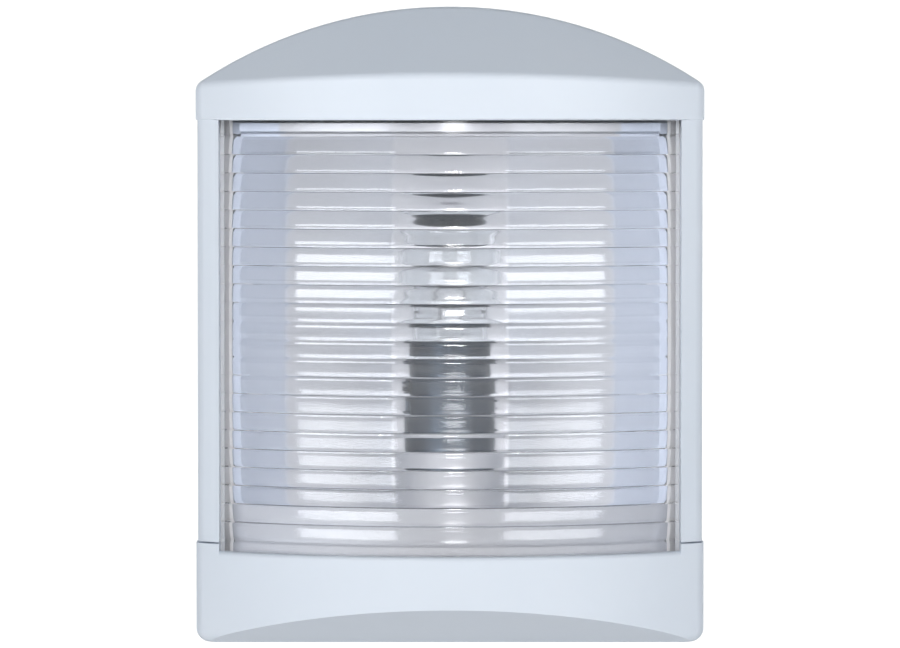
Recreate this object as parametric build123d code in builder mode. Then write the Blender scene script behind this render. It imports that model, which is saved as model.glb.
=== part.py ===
"""Stern navigation light for wall or transom mounting, as separate pieces.

The frame has its origin in the middle of the rear mounting face: +X is to the right seen from
the front, -Y is forward, out of the lens, and +Z is up. All sizes are in millimetres.
"""

from math import asin, cos, degrees, hypot, radians, sin, sqrt, tan
import os

from build123d import *

os.makedirs("parts", exist_ok=True)

# Overall size
WIDTH = 92.0
HEIGHT = 115.0
DEPTH = 65.0
BASE = -HEIGHT / 2  # underside of the light
TOP = HEIGHT / 2  # crown of the roof

# Bowed front
FRONT_RADIUS = 76.0  # plan radius of the hood and the bottom cap
CORNER_RADIUS = 3.0  # rounding of the upright front corners
POST_SETBACK = 0.3  # how far the side posts stand back from hood and cap
SIDE_Y = -DEPTH + FRONT_RADIUS - sqrt(FRONT_RADIUS**2 - (WIDTH / 2) ** 2)

# Roof: an arch that runs level from the back and then slopes down to the front edge
ROOF_RADIUS = 82.0
ROOF_SLOPE = 0.80
ROOF_EDGE_RADIUS = 1.6  # along the front edge
ROOF_SIDE_RADIUS = 2.0  # along the sides
ROOF_THICKNESS = 2.5
LIP_EDGE_RADIUS = 0.3

# Heights above the underside
SEAM = BASE + 18.2  # between the bottom cap and the side posts
SEAM_GAP = 0.3
HOOD_EDGE = BASE + 94.5  # lower edge of the hood
CAP_LIP = BASE + 16.7  # top of the cap's front lip
LENS_LOW = BASE + 14.5
LENS_HIGH = BASE + 96.3

# Walls
BACK_WALL = 3.0
SIDE_WALL = 2.7
CAP_WALL = 2.5
CAP_FLOOR = 3.0
LIP_RADIUS = FRONT_RADIUS - 2.0  # inner face of the hood's and the cap's front lip

# Lens
LENS_RADIUS = 68.0
LENS_FRONT = -DEPTH + 2.3
LENS_AXIS_Y = LENS_FRONT + LENS_RADIUS
LENS_AXIS = Axis((0, LENS_AXIS_Y, 0), (0, 0, 1))
LENS_HALF = 41.4
LENS_WALL = 2.2
FLANGE_THICKNESS = 2.0
FLANGE_BACK = -40.0
TONGUE_DEPTH = 1.6
TONGUE_Y = -43.75
TONGUE_WIDTH = 1.5
RIB_COUNT = 22
RIB_PITCH = 3.33
RIB_DEPTH = 0.8
RIB_CENTRE = BASE + 55.1
SLIDE_GAP = 0.3

# Reflector
REFLECTOR_WALL = 1.5
REFLECTOR_LOW = BASE + 24.0
REFLECTOR_HIGH = BASE + 94.0
REFLECTOR_FACETS = [(11.0, -9.0), (30.5, -22.0), (37.6, -43.5)]
REFLECTOR_RIM_RADIUS = 65.0
COLLAR_RADIUS = 10.0
COLLAR_HIGH = BASE + 37.0
SKIRT_LOW = BASE + 15.3  # underside of the bowed skirt that hides the wiring

# Lamp
LAMP_Y = -28.0
LAMP_AXIS = Axis((0, LAMP_Y, 0), (0, 0, 1))
LAMP_LOW = BASE + 38.2
LAMP_CAP_RADIUS = 7.45
LAMP_CAP_HEIGHT = 16.0
GLOBE_RADIUS = 9.5
GLOBE_WALL = 0.6
GLOBE_CENTRE = LAMP_LOW + 26.5
FILAMENT_HEIGHT = LAMP_LOW + 24.0
PIN_RADIUS = 1.0
PIN_HEIGHTS = [LAMP_LOW + 4.5, LAMP_LOW + 7.7]
PRESS_TRAVEL = 1.5
UNLOCK_ANGLE = 20.0
CONTACT_X = 3.2

# Holder
SHELL_INNER = 7.8
SHELL_OUTER = 8.3
SHELL_LOW = BASE + 22.7
SHELL_HIGH = LAMP_LOW + 10.5
PLATE_THICKNESS = 1.2

# Fixings
CAP_SCREW_X = 35.0
CAP_SCREW_Y = -12.0
CAP_SCREW_RADIUS = 2.0
PILLAR_LOW = BASE + 10.3
INSERT_LENGTH = 8.0
TIP_ROOM = 4.0  # depth of the hole beyond the insert
INSERT_RADIUS = 3.0
MOUNT_SPACING_X = 48.0
MOUNT_SPACING_Z = 60.0
MOUNT_HOLE_RADIUS = 2.25
CABLE_RADIUS = 3.25
CABLE_Z = BASE + 12.5
SMALL_SCREW_RADIUS = 1.25
LEAD_RADIUS = 0.7
FIT = 0.03  # play left between pieces of one body so that their faces don't cut


def plan_outline(half_width, front, radius, back, corner):
    """Plan of the light: straight back and sides, bowed front, rounded front corners."""
    side = front + radius - sqrt(radius**2 - half_width**2)
    with BuildSketch() as plan:
        with BuildLine():
            Polyline((-half_width, side), (-half_width, back), (half_width, back), (half_width, side))
            ThreePointArc((half_width, side), (0, front), (-half_width, side))
        make_face()
        fillet(plan.vertices().sort_by(Axis.Y)[:2], radius=corner)
    return plan.sketch


def roofed_block(plan, low, drop):
    """Block on the given plan, from the height low up to the roof lowered by drop."""
    reach = WIDTH
    with BuildPart() as block:
        with BuildSketch(Plane.XY.offset(low)):
            add(plan)
        extrude(amount=TOP - low)
        with BuildSketch(Plane.XZ.offset(-SIDE_Y)) as above_roof:
            with BuildLine():
                crown = TOP - drop
                radius = ROOF_RADIUS - drop
                half = WIDTH / 2 + 4.0
                end = crown - radius + sqrt(radius**2 - half**2)
                Polyline((half, end), (half, TOP + reach), (-half, TOP + reach), (-half, end))
                ThreePointArc((-half, end), (0, crown), (half, end))
            make_face()
        extrude(
            above_roof.sketch,
            amount=hypot(1, ROOF_SLOPE) * DEPTH / 2,
            dir=(0, -1, -ROOF_SLOPE),
            mode=Mode.SUBTRACT,
        )
        extrude(above_roof.sketch, amount=DEPTH, dir=(0, 1, 0), mode=Mode.SUBTRACT)
    return block.part


def write(part, name):
    part.label = name
    export_step(part, f"parts/{name}.step")


# --- Rear housing: back plate, hood and side posts in one moulding ---------------------------

hood_block = roofed_block(
    plan_outline(WIDTH / 2, -DEPTH, FRONT_RADIUS, 0, CORNER_RADIUS), HOOD_EDGE, 0
)
post_plan = plan_outline(
    WIDTH / 2 - POST_SETBACK, -DEPTH + POST_SETBACK, FRONT_RADIUS, 0, CORNER_RADIUS
)

INNER_HALF = WIDTH / 2 - POST_SETBACK - SIDE_WALL
PASSAGE_HALF = LENS_HALF + SLIDE_GAP
GUIDE_HALF = LENS_HALF - FLANGE_THICKNESS + 0.1
GUIDE_FRONT = FLANGE_BACK + SLIDE_GAP
GUIDE_BACK = GUIDE_FRONT + 2.0
GROOVE_HALF = LENS_HALF + TONGUE_DEPTH + SLIDE_GAP
GROOVE_BACK = TONGUE_Y + TONGUE_WIDTH / 2 + SLIDE_GAP
GROOVE_FRONT = TONGUE_Y - TONGUE_WIDTH / 2 - SLIDE_GAP
FRONT_AXIS_Y = FRONT_RADIUS - DEPTH
PASSAGE_FRONT = FRONT_AXIS_Y - sqrt(LIP_RADIUS**2 - PASSAGE_HALF**2)

with BuildSketch() as chamber_plan:
    with BuildLine() as chamber_line:
        right_side = Polyline(
            (0, -BACK_WALL),
            (INNER_HALF, -BACK_WALL),
            (INNER_HALF, GUIDE_BACK),
            (GUIDE_HALF, GUIDE_BACK),
            (GUIDE_HALF, GUIDE_FRONT),
            (PASSAGE_HALF, GUIDE_FRONT),
            (PASSAGE_HALF, GROOVE_BACK),
            (GROOVE_HALF, GROOVE_BACK),
            (GROOVE_HALF, GROOVE_FRONT),
            (PASSAGE_HALF, GROOVE_FRONT),
            (PASSAGE_HALF, PASSAGE_FRONT),
        )
        mirror(right_side, about=Plane.YZ)
        ThreePointArc(
            (PASSAGE_HALF, PASSAGE_FRONT),
            (0, FRONT_AXIS_Y - LIP_RADIUS),
            (-PASSAGE_HALF, PASSAGE_FRONT),
        )
    make_face()

chamber = roofed_block(chamber_plan.sketch, BASE - 1.0, ROOF_THICKNESS)

MOUNT_BOSS_RADIUS = 5.5
MOUNT_BOSS_HEIGHT = 3.0
PILLAR_RADIUS = 5.5
PILLAR_HIGH = BASE + 45.0
WEB_THICKNESS = 3.0
SMALL_BOSS_RADIUS = 3.5
PILOT_START = 1.2  # how far the pilot holes stop short of the rear face
PILOT_LENGTH = 10.0
PAD_SIZE = (20.0, 8.0)
MARGIN = 5.0  # how far a cut runs past the outside
OVERLAP = 1.0  # how far a web or rib is sunk into the wall it grows from
SCREW_CLEARANCE = 0.4
HOLE_PLAY = 0.2  # around the small screws
REFLECTOR_TAB_Z = BASE + 98.0
REFLECTOR_TAB_X = 18.0
REFLECTOR_BACK = REFLECTOR_FACETS[0][1] + REFLECTOR_WALL
BRACKET_PAD = 1.0
BRACKET_SCREW_X = 5.5
BRACKET_SCREW_Z = SHELL_LOW + 10.5
GROMMET_FLANGE = 7.0
GROMMET_NECK = 4.6
GROMMET_RECESS = 1.2
GASKET_WIDTH = 2.5
GASKET_DEPTH = 1.5
GASKET_SIZE = (84.0, 97.0)
GASKET_Z = BASE + 50.5
TERMINAL_X = -19.0
BLOCK_LOW = BASE + 6.5
BLOCK_SCREW_Z = BLOCK_LOW + 5.0

with BuildPart() as rear_housing:
    add(hood_block)
    roof_edges = rear_housing.edges().filter_by(
        lambda edge: edge.center().Z > HOOD_EDGE + 3 and edge.center().Y < -DEPTH + 5
    )
    fillet(roof_edges, radius=ROOF_EDGE_RADIUS)
    side_edges = rear_housing.edges().filter_by(
        lambda edge: abs(edge.center().X) > WIDTH / 2 - 1
        and edge.center().Z > HOOD_EDGE + 3
        and edge.length > DEPTH / 3
    )
    fillet(side_edges, radius=ROOF_SIDE_RADIUS)
    lip_edges = rear_housing.edges().filter_by(
        lambda edge: abs(edge.center().Z - HOOD_EDGE) < 0.01 and edge.center().Y < -DEPTH + 5
    )
    fillet(lip_edges, radius=LIP_EDGE_RADIUS)
    with BuildSketch(Plane.XY.offset(SEAM + SEAM_GAP / 2)):
        add(post_plan)
    extrude(amount=HOOD_EDGE - SEAM - SEAM_GAP / 2)
    add(chamber, mode=Mode.SUBTRACT)
    # Front opening between the posts
    with BuildSketch(Plane.XY.offset(BASE - 1)):
        with Locations((0, GROOVE_FRONT)):
            Rectangle(2 * PASSAGE_HALF, DEPTH, align=(Align.CENTER, Align.MAX))
    extrude(amount=HOOD_EDGE - BASE + 1, mode=Mode.SUBTRACT)
    # Back plate, down to the underside
    with BuildSketch(Plane.XZ):
        with Locations((0, (BASE + HOOD_EDGE) / 2)):
            Rectangle(WIDTH - 2 * POST_SETBACK, HOOD_EDGE - BASE)
    extrude(amount=BACK_WALL)
    # Pillars for the cap screws, tied to the side walls
    for side in (-1, 1):
        with BuildSketch(Plane.XY.offset(PILLAR_LOW)):
            with Locations((side * CAP_SCREW_X, CAP_SCREW_Y)):
                Circle(PILLAR_RADIUS)
        extrude(amount=PILLAR_HIGH - PILLAR_LOW)
        with BuildSketch(Plane.XY.offset(SEAM + SEAM_GAP / 2)):
            with Locations((side * (CAP_SCREW_X + INNER_HALF + OVERLAP) / 2, CAP_SCREW_Y)):
                Rectangle(INNER_HALF + OVERLAP - CAP_SCREW_X, WEB_THICKNESS)
        extrude(amount=PILLAR_HIGH - SEAM - SEAM_GAP / 2)
        with BuildSketch(Plane.XY.offset(PILLAR_LOW)):
            with Locations((side * CAP_SCREW_X, (CAP_SCREW_Y - BACK_WALL) / 2)):
                Rectangle(WEB_THICKNESS, -CAP_SCREW_Y - BACK_WALL + OVERLAP)
        extrude(amount=PILLAR_HIGH - PILLAR_LOW)
    with BuildSketch(Plane.XY.offset(PILLAR_LOW)):
        with Locations((-CAP_SCREW_X, CAP_SCREW_Y), (CAP_SCREW_X, CAP_SCREW_Y)):
            Circle(INSERT_RADIUS + FIT)
    extrude(amount=INSERT_LENGTH + 0.3, mode=Mode.SUBTRACT)
    with BuildSketch(Plane.XY.offset(PILLAR_LOW)):
        with Locations((-CAP_SCREW_X, CAP_SCREW_Y), (CAP_SCREW_X, CAP_SCREW_Y)):
            Circle(CAP_SCREW_RADIUS + SCREW_CLEARANCE)
    extrude(amount=INSERT_LENGTH + TIP_ROOM, mode=Mode.SUBTRACT)
    # Bosses on the inside of the back plate
    with BuildSketch(Plane.XZ.offset(BACK_WALL)):
        with GridLocations(MOUNT_SPACING_X, MOUNT_SPACING_Z, 2, 2):
            Circle(MOUNT_BOSS_RADIUS)
    extrude(amount=MOUNT_BOSS_HEIGHT)
    with BuildSketch(Plane.XZ.offset(BACK_WALL)):
        with Locations((-REFLECTOR_TAB_X, REFLECTOR_TAB_Z), (REFLECTOR_TAB_X, REFLECTOR_TAB_Z)):
            Circle(SMALL_BOSS_RADIUS)
    extrude(amount=-REFLECTOR_BACK - BACK_WALL - FIT)
    with BuildSketch(Plane.XZ.offset(BACK_WALL)):
        with Locations((0, BRACKET_SCREW_Z)):
            Rectangle(*PAD_SIZE)
    extrude(amount=BRACKET_PAD)
    # Holes from the rear face
    with BuildSketch(Plane.XZ):
        with GridLocations(MOUNT_SPACING_X, MOUNT_SPACING_Z, 2, 2):
            Circle(MOUNT_HOLE_RADIUS)
        with Locations((0, CABLE_Z)):
            Circle(GROMMET_NECK)
    extrude(amount=BACK_WALL + MOUNT_BOSS_HEIGHT + 1, mode=Mode.SUBTRACT)
    with BuildSketch(Plane.XZ):
        with Locations((0, CABLE_Z)):
            Circle(GROMMET_FLANGE + 0.1)
    extrude(amount=GROMMET_RECESS, mode=Mode.SUBTRACT)
    # Groove for the rear gasket
    with BuildSketch(Plane.XZ):
        with Locations((0, GASKET_Z)):
            RectangleRounded(*GASKET_SIZE, 8)
            RectangleRounded(
                GASKET_SIZE[0] - 2 * GASKET_WIDTH, GASKET_SIZE[1] - 2 * GASKET_WIDTH, 5.5,
                mode=Mode.SUBTRACT,
            )
    extrude(amount=GASKET_DEPTH, mode=Mode.SUBTRACT)
    # Pilot holes for the small screws
    with BuildSketch(Plane.XZ.offset(PILOT_START)):
        with Locations(
            (-BRACKET_SCREW_X, BRACKET_SCREW_Z),
            (BRACKET_SCREW_X, BRACKET_SCREW_Z),
            (-REFLECTOR_TAB_X, REFLECTOR_TAB_Z),
            (REFLECTOR_TAB_X, REFLECTOR_TAB_Z),
            (TERMINAL_X, BLOCK_SCREW_Z),
        ):
            Circle(SMALL_SCREW_RADIUS + FIT)
    extrude(amount=PILOT_LENGTH, mode=Mode.SUBTRACT)
write(rear_housing.part, "rear_housing")

# --- Bottom cap: an open-backed tray that carries the lens ------------------------------------

CAP_BACK = -4.5
CAP_EDGE_RADIUS = 2.5
BEVEL_RISE = 7.2  # how far the underside rises towards the bowed front
LENS_SEAT = BASE + 13.0
SEAT_RADIUS = 62.0  # inner face of the wall that the lens stands on
SEAT_HALF = LENS_HALF - 3.4
CAP_LIP_RADIUS = 0.8
CAP_BOSS_RADIUS = 6.5
CAP_BOSS_HIGH = BASE + 10.0
HEAD_RADIUS = 4.0
HEAD_HEIGHT = 2.8
HEAD_LOW = BASE + 0.4
WASHER_THICKNESS = 0.9
COUNTERBORE_RADIUS = 4.6
COUNTERBORE_HIGH = HEAD_LOW + HEAD_HEIGHT + WASHER_THICKNESS + 0.1
SCREW_TIP = PILLAR_LOW + INSERT_LENGTH + 1.5

SEAT_SIDE = FRONT_AXIS_Y - sqrt(SEAT_RADIUS**2 - SEAT_HALF**2)
with BuildSketch() as tray_plan:
    with BuildLine():
        half_tray = WIDTH / 2 - CAP_WALL
        right_side = Polyline(
            (0, CAP_BACK + 5), (half_tray, CAP_BACK + 5), (half_tray, GUIDE_BACK),
            (SEAT_HALF, GUIDE_BACK), (SEAT_HALF, SEAT_SIDE),
        )
        mirror(right_side, about=Plane.YZ)
        ThreePointArc(
            (SEAT_HALF, SEAT_SIDE), (0, FRONT_AXIS_Y - SEAT_RADIUS), (-SEAT_HALF, SEAT_SIDE)
        )
    make_face()

# The lens's own path through the cap: its bowed wall, side flanges and tongues
with BuildSketch() as pocket_plan:
    with BuildLine():
        right_side = Polyline(
            (0, GUIDE_FRONT), (PASSAGE_HALF, GUIDE_FRONT), (PASSAGE_HALF, GROOVE_BACK),
            (GROOVE_HALF, GROOVE_BACK), (GROOVE_HALF, GROOVE_FRONT),
            (PASSAGE_HALF, GROOVE_FRONT), (PASSAGE_HALF, PASSAGE_FRONT),
        )
        mirror(right_side, about=Plane.YZ)
        ThreePointArc(
            (PASSAGE_HALF, PASSAGE_FRONT), (0, FRONT_AXIS_Y - LIP_RADIUS),
            (-PASSAGE_HALF, PASSAGE_FRONT),
        )
    make_face()

with BuildPart() as bottom_cap:
    with BuildSketch(Plane.XY.offset(BASE)):
        add(plan_outline(WIDTH / 2, -DEPTH, FRONT_RADIUS, CAP_BACK, CORNER_RADIUS))
    extrude(amount=SEAM - SEAM_GAP / 2 - BASE)
    # Underside rises from the chord line to the bowed front edge
    bevel_end = BASE + BEVEL_RISE * (SIDE_Y + DEPTH + MARGIN) / (SIDE_Y + DEPTH)
    with BuildSketch(Plane.YZ):
        with BuildLine():
            Polyline(
                (SIDE_Y, BASE), (-DEPTH - MARGIN, bevel_end),
                (-DEPTH - MARGIN, BASE - MARGIN), (SIDE_Y, BASE - MARGIN), close=True,
            )
        make_face()
    extrude(amount=WIDTH, both=True, mode=Mode.SUBTRACT)
    side_edges = bottom_cap.edges().filter_by(Axis.Y).group_by(Axis.Z)[0]
    fillet(side_edges.sort_by(Axis.X)[0], radius=CAP_EDGE_RADIUS)
    side_edges = bottom_cap.edges().filter_by(Axis.Y).group_by(Axis.Z)[0]
    fillet(side_edges.sort_by(Axis.X)[-1], radius=CAP_EDGE_RADIUS)
    # Hollow of the tray, lens pocket and the lowered front lip
    with BuildSketch(Plane.XY.offset(BASE + CAP_FLOOR)):
        add(tray_plan.sketch)
    extrude(amount=HEIGHT, mode=Mode.SUBTRACT)
    with BuildSketch(Plane.XY.offset(LENS_SEAT)):
        add(pocket_plan.sketch)
    extrude(amount=HEIGHT, mode=Mode.SUBTRACT)
    with BuildSketch(Plane.XY.offset(CAP_LIP)):
        with Locations((0, GUIDE_FRONT)):
            Rectangle(2 * PASSAGE_HALF, DEPTH, align=(Align.CENTER, Align.MAX))
    extrude(amount=HEIGHT, mode=Mode.SUBTRACT)
    # Screw bosses, with the head's seat sunk in from beneath
    with BuildSketch(Plane.XY.offset(BASE)):
        with Locations((-CAP_SCREW_X, CAP_SCREW_Y), (CAP_SCREW_X, CAP_SCREW_Y)):
            Circle(CAP_BOSS_RADIUS)
    extrude(amount=CAP_BOSS_HIGH - BASE)
    with BuildSketch(Plane.XY.offset(BASE)):
        with Locations((-CAP_SCREW_X, CAP_SCREW_Y), (CAP_SCREW_X, CAP_SCREW_Y)):
            Circle(COUNTERBORE_RADIUS)
    extrude(amount=COUNTERBORE_HIGH - BASE, mode=Mode.SUBTRACT)
    with BuildSketch(Plane.XY.offset(BASE)):
        with Locations((-CAP_SCREW_X, CAP_SCREW_Y), (CAP_SCREW_X, CAP_SCREW_Y)):
            Circle(CAP_SCREW_RADIUS + 0.25)
    extrude(amount=HEIGHT / 2, mode=Mode.SUBTRACT)
    lip_edges = bottom_cap.edges().filter_by(
        lambda edge: abs(edge.center().Z - CAP_LIP) < 0.01 and edge.length > 60
        and edge.center().Y < -DEPTH + 1
    )
    fillet(lip_edges, radius=CAP_LIP_RADIUS)
write(bottom_cap.part, "bottom_cap")

# --- Lens and its seal -------------------------------------------------------------------------

RIB_LOW = RIB_CENTRE - RIB_COUNT * RIB_PITCH / 2
with BuildPart() as lens_ring:
    with BuildSketch(Plane(origin=(0, LENS_AXIS_Y, 0), x_dir=(0, -1, 0), z_dir=(-1, 0, 0))):
        with BuildLine():
            valley = LENS_RADIUS - RIB_DEPTH
            points = [(LENS_RADIUS - LENS_WALL, LENS_HIGH), (LENS_RADIUS - LENS_WALL, LENS_LOW)]
            points.append((valley, LENS_LOW))
            for rib in range(RIB_COUNT):
                low = RIB_LOW + rib * RIB_PITCH
                crest = low + RIB_PITCH * (0.85 if low + RIB_PITCH / 2 < RIB_CENTRE else 0.15)
                points.append((valley, low))
                points.append((LENS_RADIUS, crest))
            points.append((valley, RIB_LOW + RIB_COUNT * RIB_PITCH))
            points.append((valley, LENS_HIGH))
            Polyline(*points, close=True)
        make_face()
    arc_half = degrees(asin(LENS_HALF / LENS_RADIUS)) + 2
    revolve(axis=LENS_AXIS, revolution_arc=2 * arc_half)

with BuildPart() as lens:
    add(lens_ring.part.rotate(LENS_AXIS, -arc_half))
    with BuildSketch(Plane.XY.offset(LENS_LOW)):
        with Locations((0, LENS_FRONT)):
            Rectangle(2 * LENS_HALF, DEPTH)
    extrude(amount=LENS_HIGH - LENS_LOW, mode=Mode.INTERSECT)
    for side in (-1, 1):
        outer = side * LENS_HALF
        inner = side * (LENS_HALF - FLANGE_THICKNESS)
        corner = LENS_AXIS_Y - sqrt((LENS_RADIUS - RIB_DEPTH) ** 2 - LENS_HALF**2)
        root = LENS_AXIS_Y - sqrt((LENS_RADIUS - RIB_DEPTH) ** 2 - inner**2)
        with BuildSketch(Plane.XY.offset(LENS_LOW)):
            with BuildLine():
                Polyline(
                    (outer, corner), (inner, root), (inner, FLANGE_BACK), (outer, FLANGE_BACK),
                    (outer, TONGUE_Y + TONGUE_WIDTH / 2),
                    (outer + side * TONGUE_DEPTH, TONGUE_Y + TONGUE_WIDTH / 2),
                    (outer + side * TONGUE_DEPTH, TONGUE_Y - TONGUE_WIDTH / 2),
                    (outer, TONGUE_Y - TONGUE_WIDTH / 2), close=True,
                )
            make_face()
        extrude(amount=LENS_HIGH - LENS_LOW)
write(lens.part, "lens")

SEAL_WIDTH = 2.6
with BuildPart() as lens_seal:
    with BuildSketch(Plane.XY.offset(LENS_SEAT)):
        with Locations((0, LENS_AXIS_Y)):
            Circle(LENS_RADIUS)
            Circle(LENS_RADIUS - SEAL_WIDTH, mode=Mode.SUBTRACT)
        with Locations((0, -DEPTH)):
            Rectangle(2 * LENS_HALF - 4, 2 * (DEPTH + SIDE_Y + 14), mode=Mode.INTERSECT)
    extrude(amount=LENS_LOW - LENS_SEAT)
write(lens_seal.part, "lens_seal")

# Strip seal on the cap's rear edges
STRIP = 1.2
with BuildPart() as cap_seal:
    with BuildSketch(Plane.XZ.offset(-CAP_BACK - STRIP)):
        with Locations((0, BASE)):
            Rectangle(WIDTH - 1.0, SEAM - 0.4 - BASE, align=(Align.CENTER, Align.MIN))
        with Locations((0, BASE + 3.0)):
            Rectangle(WIDTH - 5.0, SEAM - BASE, align=(Align.CENTER, Align.MIN), mode=Mode.SUBTRACT)
        with Locations((0, BASE)):
            Rectangle(WIDTH, 0.5, align=(Align.CENTER, Align.MIN), mode=Mode.SUBTRACT)
    extrude(amount=STRIP)
write(cap_seal.part, "cap_seal")

# --- Rear gasket and cable grommet ---------------------------------------------------------------

with BuildPart() as rear_gasket:
    with BuildSketch(Plane.XZ):
        with Locations((0, GASKET_Z)):
            RectangleRounded(GASKET_SIZE[0] - 2 * FIT, GASKET_SIZE[1] - 2 * FIT, 8 - FIT)
            RectangleRounded(
                GASKET_SIZE[0] - 2 * GASKET_WIDTH + 2 * FIT,
                GASKET_SIZE[1] - 2 * GASKET_WIDTH + 2 * FIT,
                5.5 + FIT,
                mode=Mode.SUBTRACT,
            )
    extrude(amount=GASKET_DEPTH - FIT)
write(rear_gasket.part, "rear_gasket")

GROMMET_NOSE = 8.0
with BuildPart() as cable_grommet:
    with BuildSketch(Plane.YZ) as grommet_section:
        with BuildLine():
            Polyline(
                (0, CABLE_RADIUS), (0, GROMMET_FLANGE), (-GROMMET_RECESS + FIT, GROMMET_FLANGE),
                (-GROMMET_RECESS + FIT, GROMMET_NECK - FIT),
                (-BACK_WALL - FIT, GROMMET_NECK - FIT), (-BACK_WALL - FIT, GROMMET_FLANGE - 1),
                (-BACK_WALL - 1.4, GROMMET_FLANGE - 1), (-GROMMET_NOSE, CABLE_RADIUS + 0.7),
                (-GROMMET_NOSE, CABLE_RADIUS), close=True,
            )
        make_face()
    revolve(axis=Axis.Y)
write(cable_grommet.part.moved(Location((0, 0, CABLE_Z))), "cable_grommet")

# --- Reflector: faceted back, floor and roof plates, screw tab ----------------------------------

def facet_line(offset):
    """Right half of the reflector's faceted back, moved back by the given wall."""
    (x0, y0), (x1, y1), (x2, y2) = REFLECTOR_FACETS
    second_in = atan_of(x1 - x0, y1 - y0)
    second_out = atan_of(x2 - x1, y2 - y1)
    return [
        (0, y0 + offset),
        (x0 + offset * tan(second_in / 2), y0 + offset),
        (
            x1 + offset * sin((second_in + second_out) / 2) / cos((second_out - second_in) / 2),
            y1 + offset * cos((second_in + second_out) / 2) / cos((second_out - second_in) / 2),
        ),
        (x2 + offset * sin(second_out), y2 + offset * cos(second_out)),
    ]


def atan_of(across, along):
    """Angle by which a facet is turned away from the back plate."""
    return asin(-along / hypot(across, along))


SKIRT_RETURN = 2.0  # room for the skirt's wall behind the corners of the rim
rim_side = LENS_AXIS_Y - sqrt(REFLECTOR_RIM_RADIUS**2 - REFLECTOR_FACETS[2][0] ** 2)
with BuildSketch() as reflector_wall:
    with BuildLine():
        Polyline(*facet_line(0))
        Polyline(*facet_line(REFLECTOR_WALL))
        Line(facet_line(0)[-1], facet_line(REFLECTOR_WALL)[-1])
        mirror(about=Plane.YZ)
    make_face()
with BuildSketch() as reflector_plate:
    with BuildLine():
        right_side = Polyline(
            *facet_line(REFLECTOR_WALL / 2),
            (REFLECTOR_FACETS[2][0], REFLECTOR_FACETS[2][1]),
            (REFLECTOR_FACETS[2][0], rim_side),
        )
        mirror(right_side, about=Plane.YZ)
        ThreePointArc(
            (REFLECTOR_FACETS[2][0], rim_side),
            (0, LENS_AXIS_Y - REFLECTOR_RIM_RADIUS),
            (-REFLECTOR_FACETS[2][0], rim_side),
        )
    make_face()

with BuildPart() as reflector:
    with BuildSketch(Plane.XY.offset(REFLECTOR_LOW)):
        add(reflector_wall.sketch)
    extrude(amount=REFLECTOR_HIGH - REFLECTOR_LOW)
    for low in (REFLECTOR_LOW, REFLECTOR_HIGH - REFLECTOR_WALL):
        with BuildSketch(Plane.XY.offset(low)):
            add(reflector_plate.sketch)
        extrude(amount=REFLECTOR_WALL)
    with BuildSketch(Plane.XZ.offset(-REFLECTOR_BACK)):
        with Locations((0, REFLECTOR_HIGH - 1)):
            Rectangle(48, REFLECTOR_TAB_Z - REFLECTOR_HIGH + 5, align=(Align.CENTER, Align.MIN))
        with Locations((-REFLECTOR_TAB_X, REFLECTOR_TAB_Z), (REFLECTOR_TAB_X, REFLECTOR_TAB_Z)):
            Circle(SMALL_SCREW_RADIUS + HOLE_PLAY, mode=Mode.SUBTRACT)
    extrude(amount=REFLECTOR_WALL)
    # Bowed skirt down behind the lens's foot
    with BuildSketch(Plane.XY.offset(SKIRT_LOW)):
        with Locations((0, LENS_AXIS_Y)):
            Circle(REFLECTOR_RIM_RADIUS)
            Circle(REFLECTOR_RIM_RADIUS - REFLECTOR_WALL, mode=Mode.SUBTRACT)
        with Locations((0, rim_side + SKIRT_RETURN)):
            Rectangle(
                2 * REFLECTOR_FACETS[2][0], DEPTH, align=(Align.CENTER, Align.MAX),
                mode=Mode.INTERSECT,
            )
    extrude(amount=REFLECTOR_LOW + REFLECTOR_WALL - SKIRT_LOW)
    # Collar that hides the holder's lower half
    with BuildSketch(Plane.XY.offset(REFLECTOR_LOW)):
        with Locations((0, LAMP_Y)):
            Circle(COLLAR_RADIUS)
    extrude(amount=COLLAR_HIGH - REFLECTOR_LOW)
    with BuildSketch(Plane.XY.offset(REFLECTOR_LOW)):
        with Locations((0, LAMP_Y)):
            Circle(SHELL_OUTER + 0.3)
    extrude(amount=COLLAR_HIGH - REFLECTOR_LOW, mode=Mode.SUBTRACT)
write(reflector.part, "reflector")


SMALL_HEAD_RADIUS = 2.4
SMALL_HEAD_HEIGHT = 1.5
SMALL_HEAD_ROUNDING = 0.7
RECESS_SPAN = 2.6
RECESS_WIDTH = 0.5
RECESS_DEPTH = 0.9


def small_screws(places, head_y, length):
    """Pan-head screws driven backwards, with crossed recesses in their heads."""
    with BuildPart() as screws:
        with BuildSketch(Plane.XZ.offset(-head_y)):
            with Locations(*places):
                Circle(SMALL_HEAD_RADIUS)
        extrude(amount=SMALL_HEAD_HEIGHT)
        fillet(screws.edges().group_by(Axis.Y)[0], radius=SMALL_HEAD_ROUNDING)
        with BuildSketch(Plane.XZ.offset(-head_y)):
            with Locations(*places):
                Circle(SMALL_SCREW_RADIUS)
        extrude(amount=-length)
        with BuildSketch(Plane.XZ.offset(-head_y + SMALL_HEAD_HEIGHT - RECESS_DEPTH)):
            with Locations(*places):
                Rectangle(RECESS_SPAN, RECESS_WIDTH)
                Rectangle(RECESS_WIDTH, RECESS_SPAN)
        extrude(amount=MARGIN, mode=Mode.SUBTRACT)
    return screws.part


REFLECTOR_SCREW_LENGTH = 7.0
reflector_places = [(-REFLECTOR_TAB_X, REFLECTOR_TAB_Z), (REFLECTOR_TAB_X, REFLECTOR_TAB_Z)]
write(
    small_screws(reflector_places, REFLECTOR_FACETS[0][1] - FIT, REFLECTOR_SCREW_LENGTH),
    "reflector_screws",
)

# --- Lamp holder ---------------------------------------------------------------------------------

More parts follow.
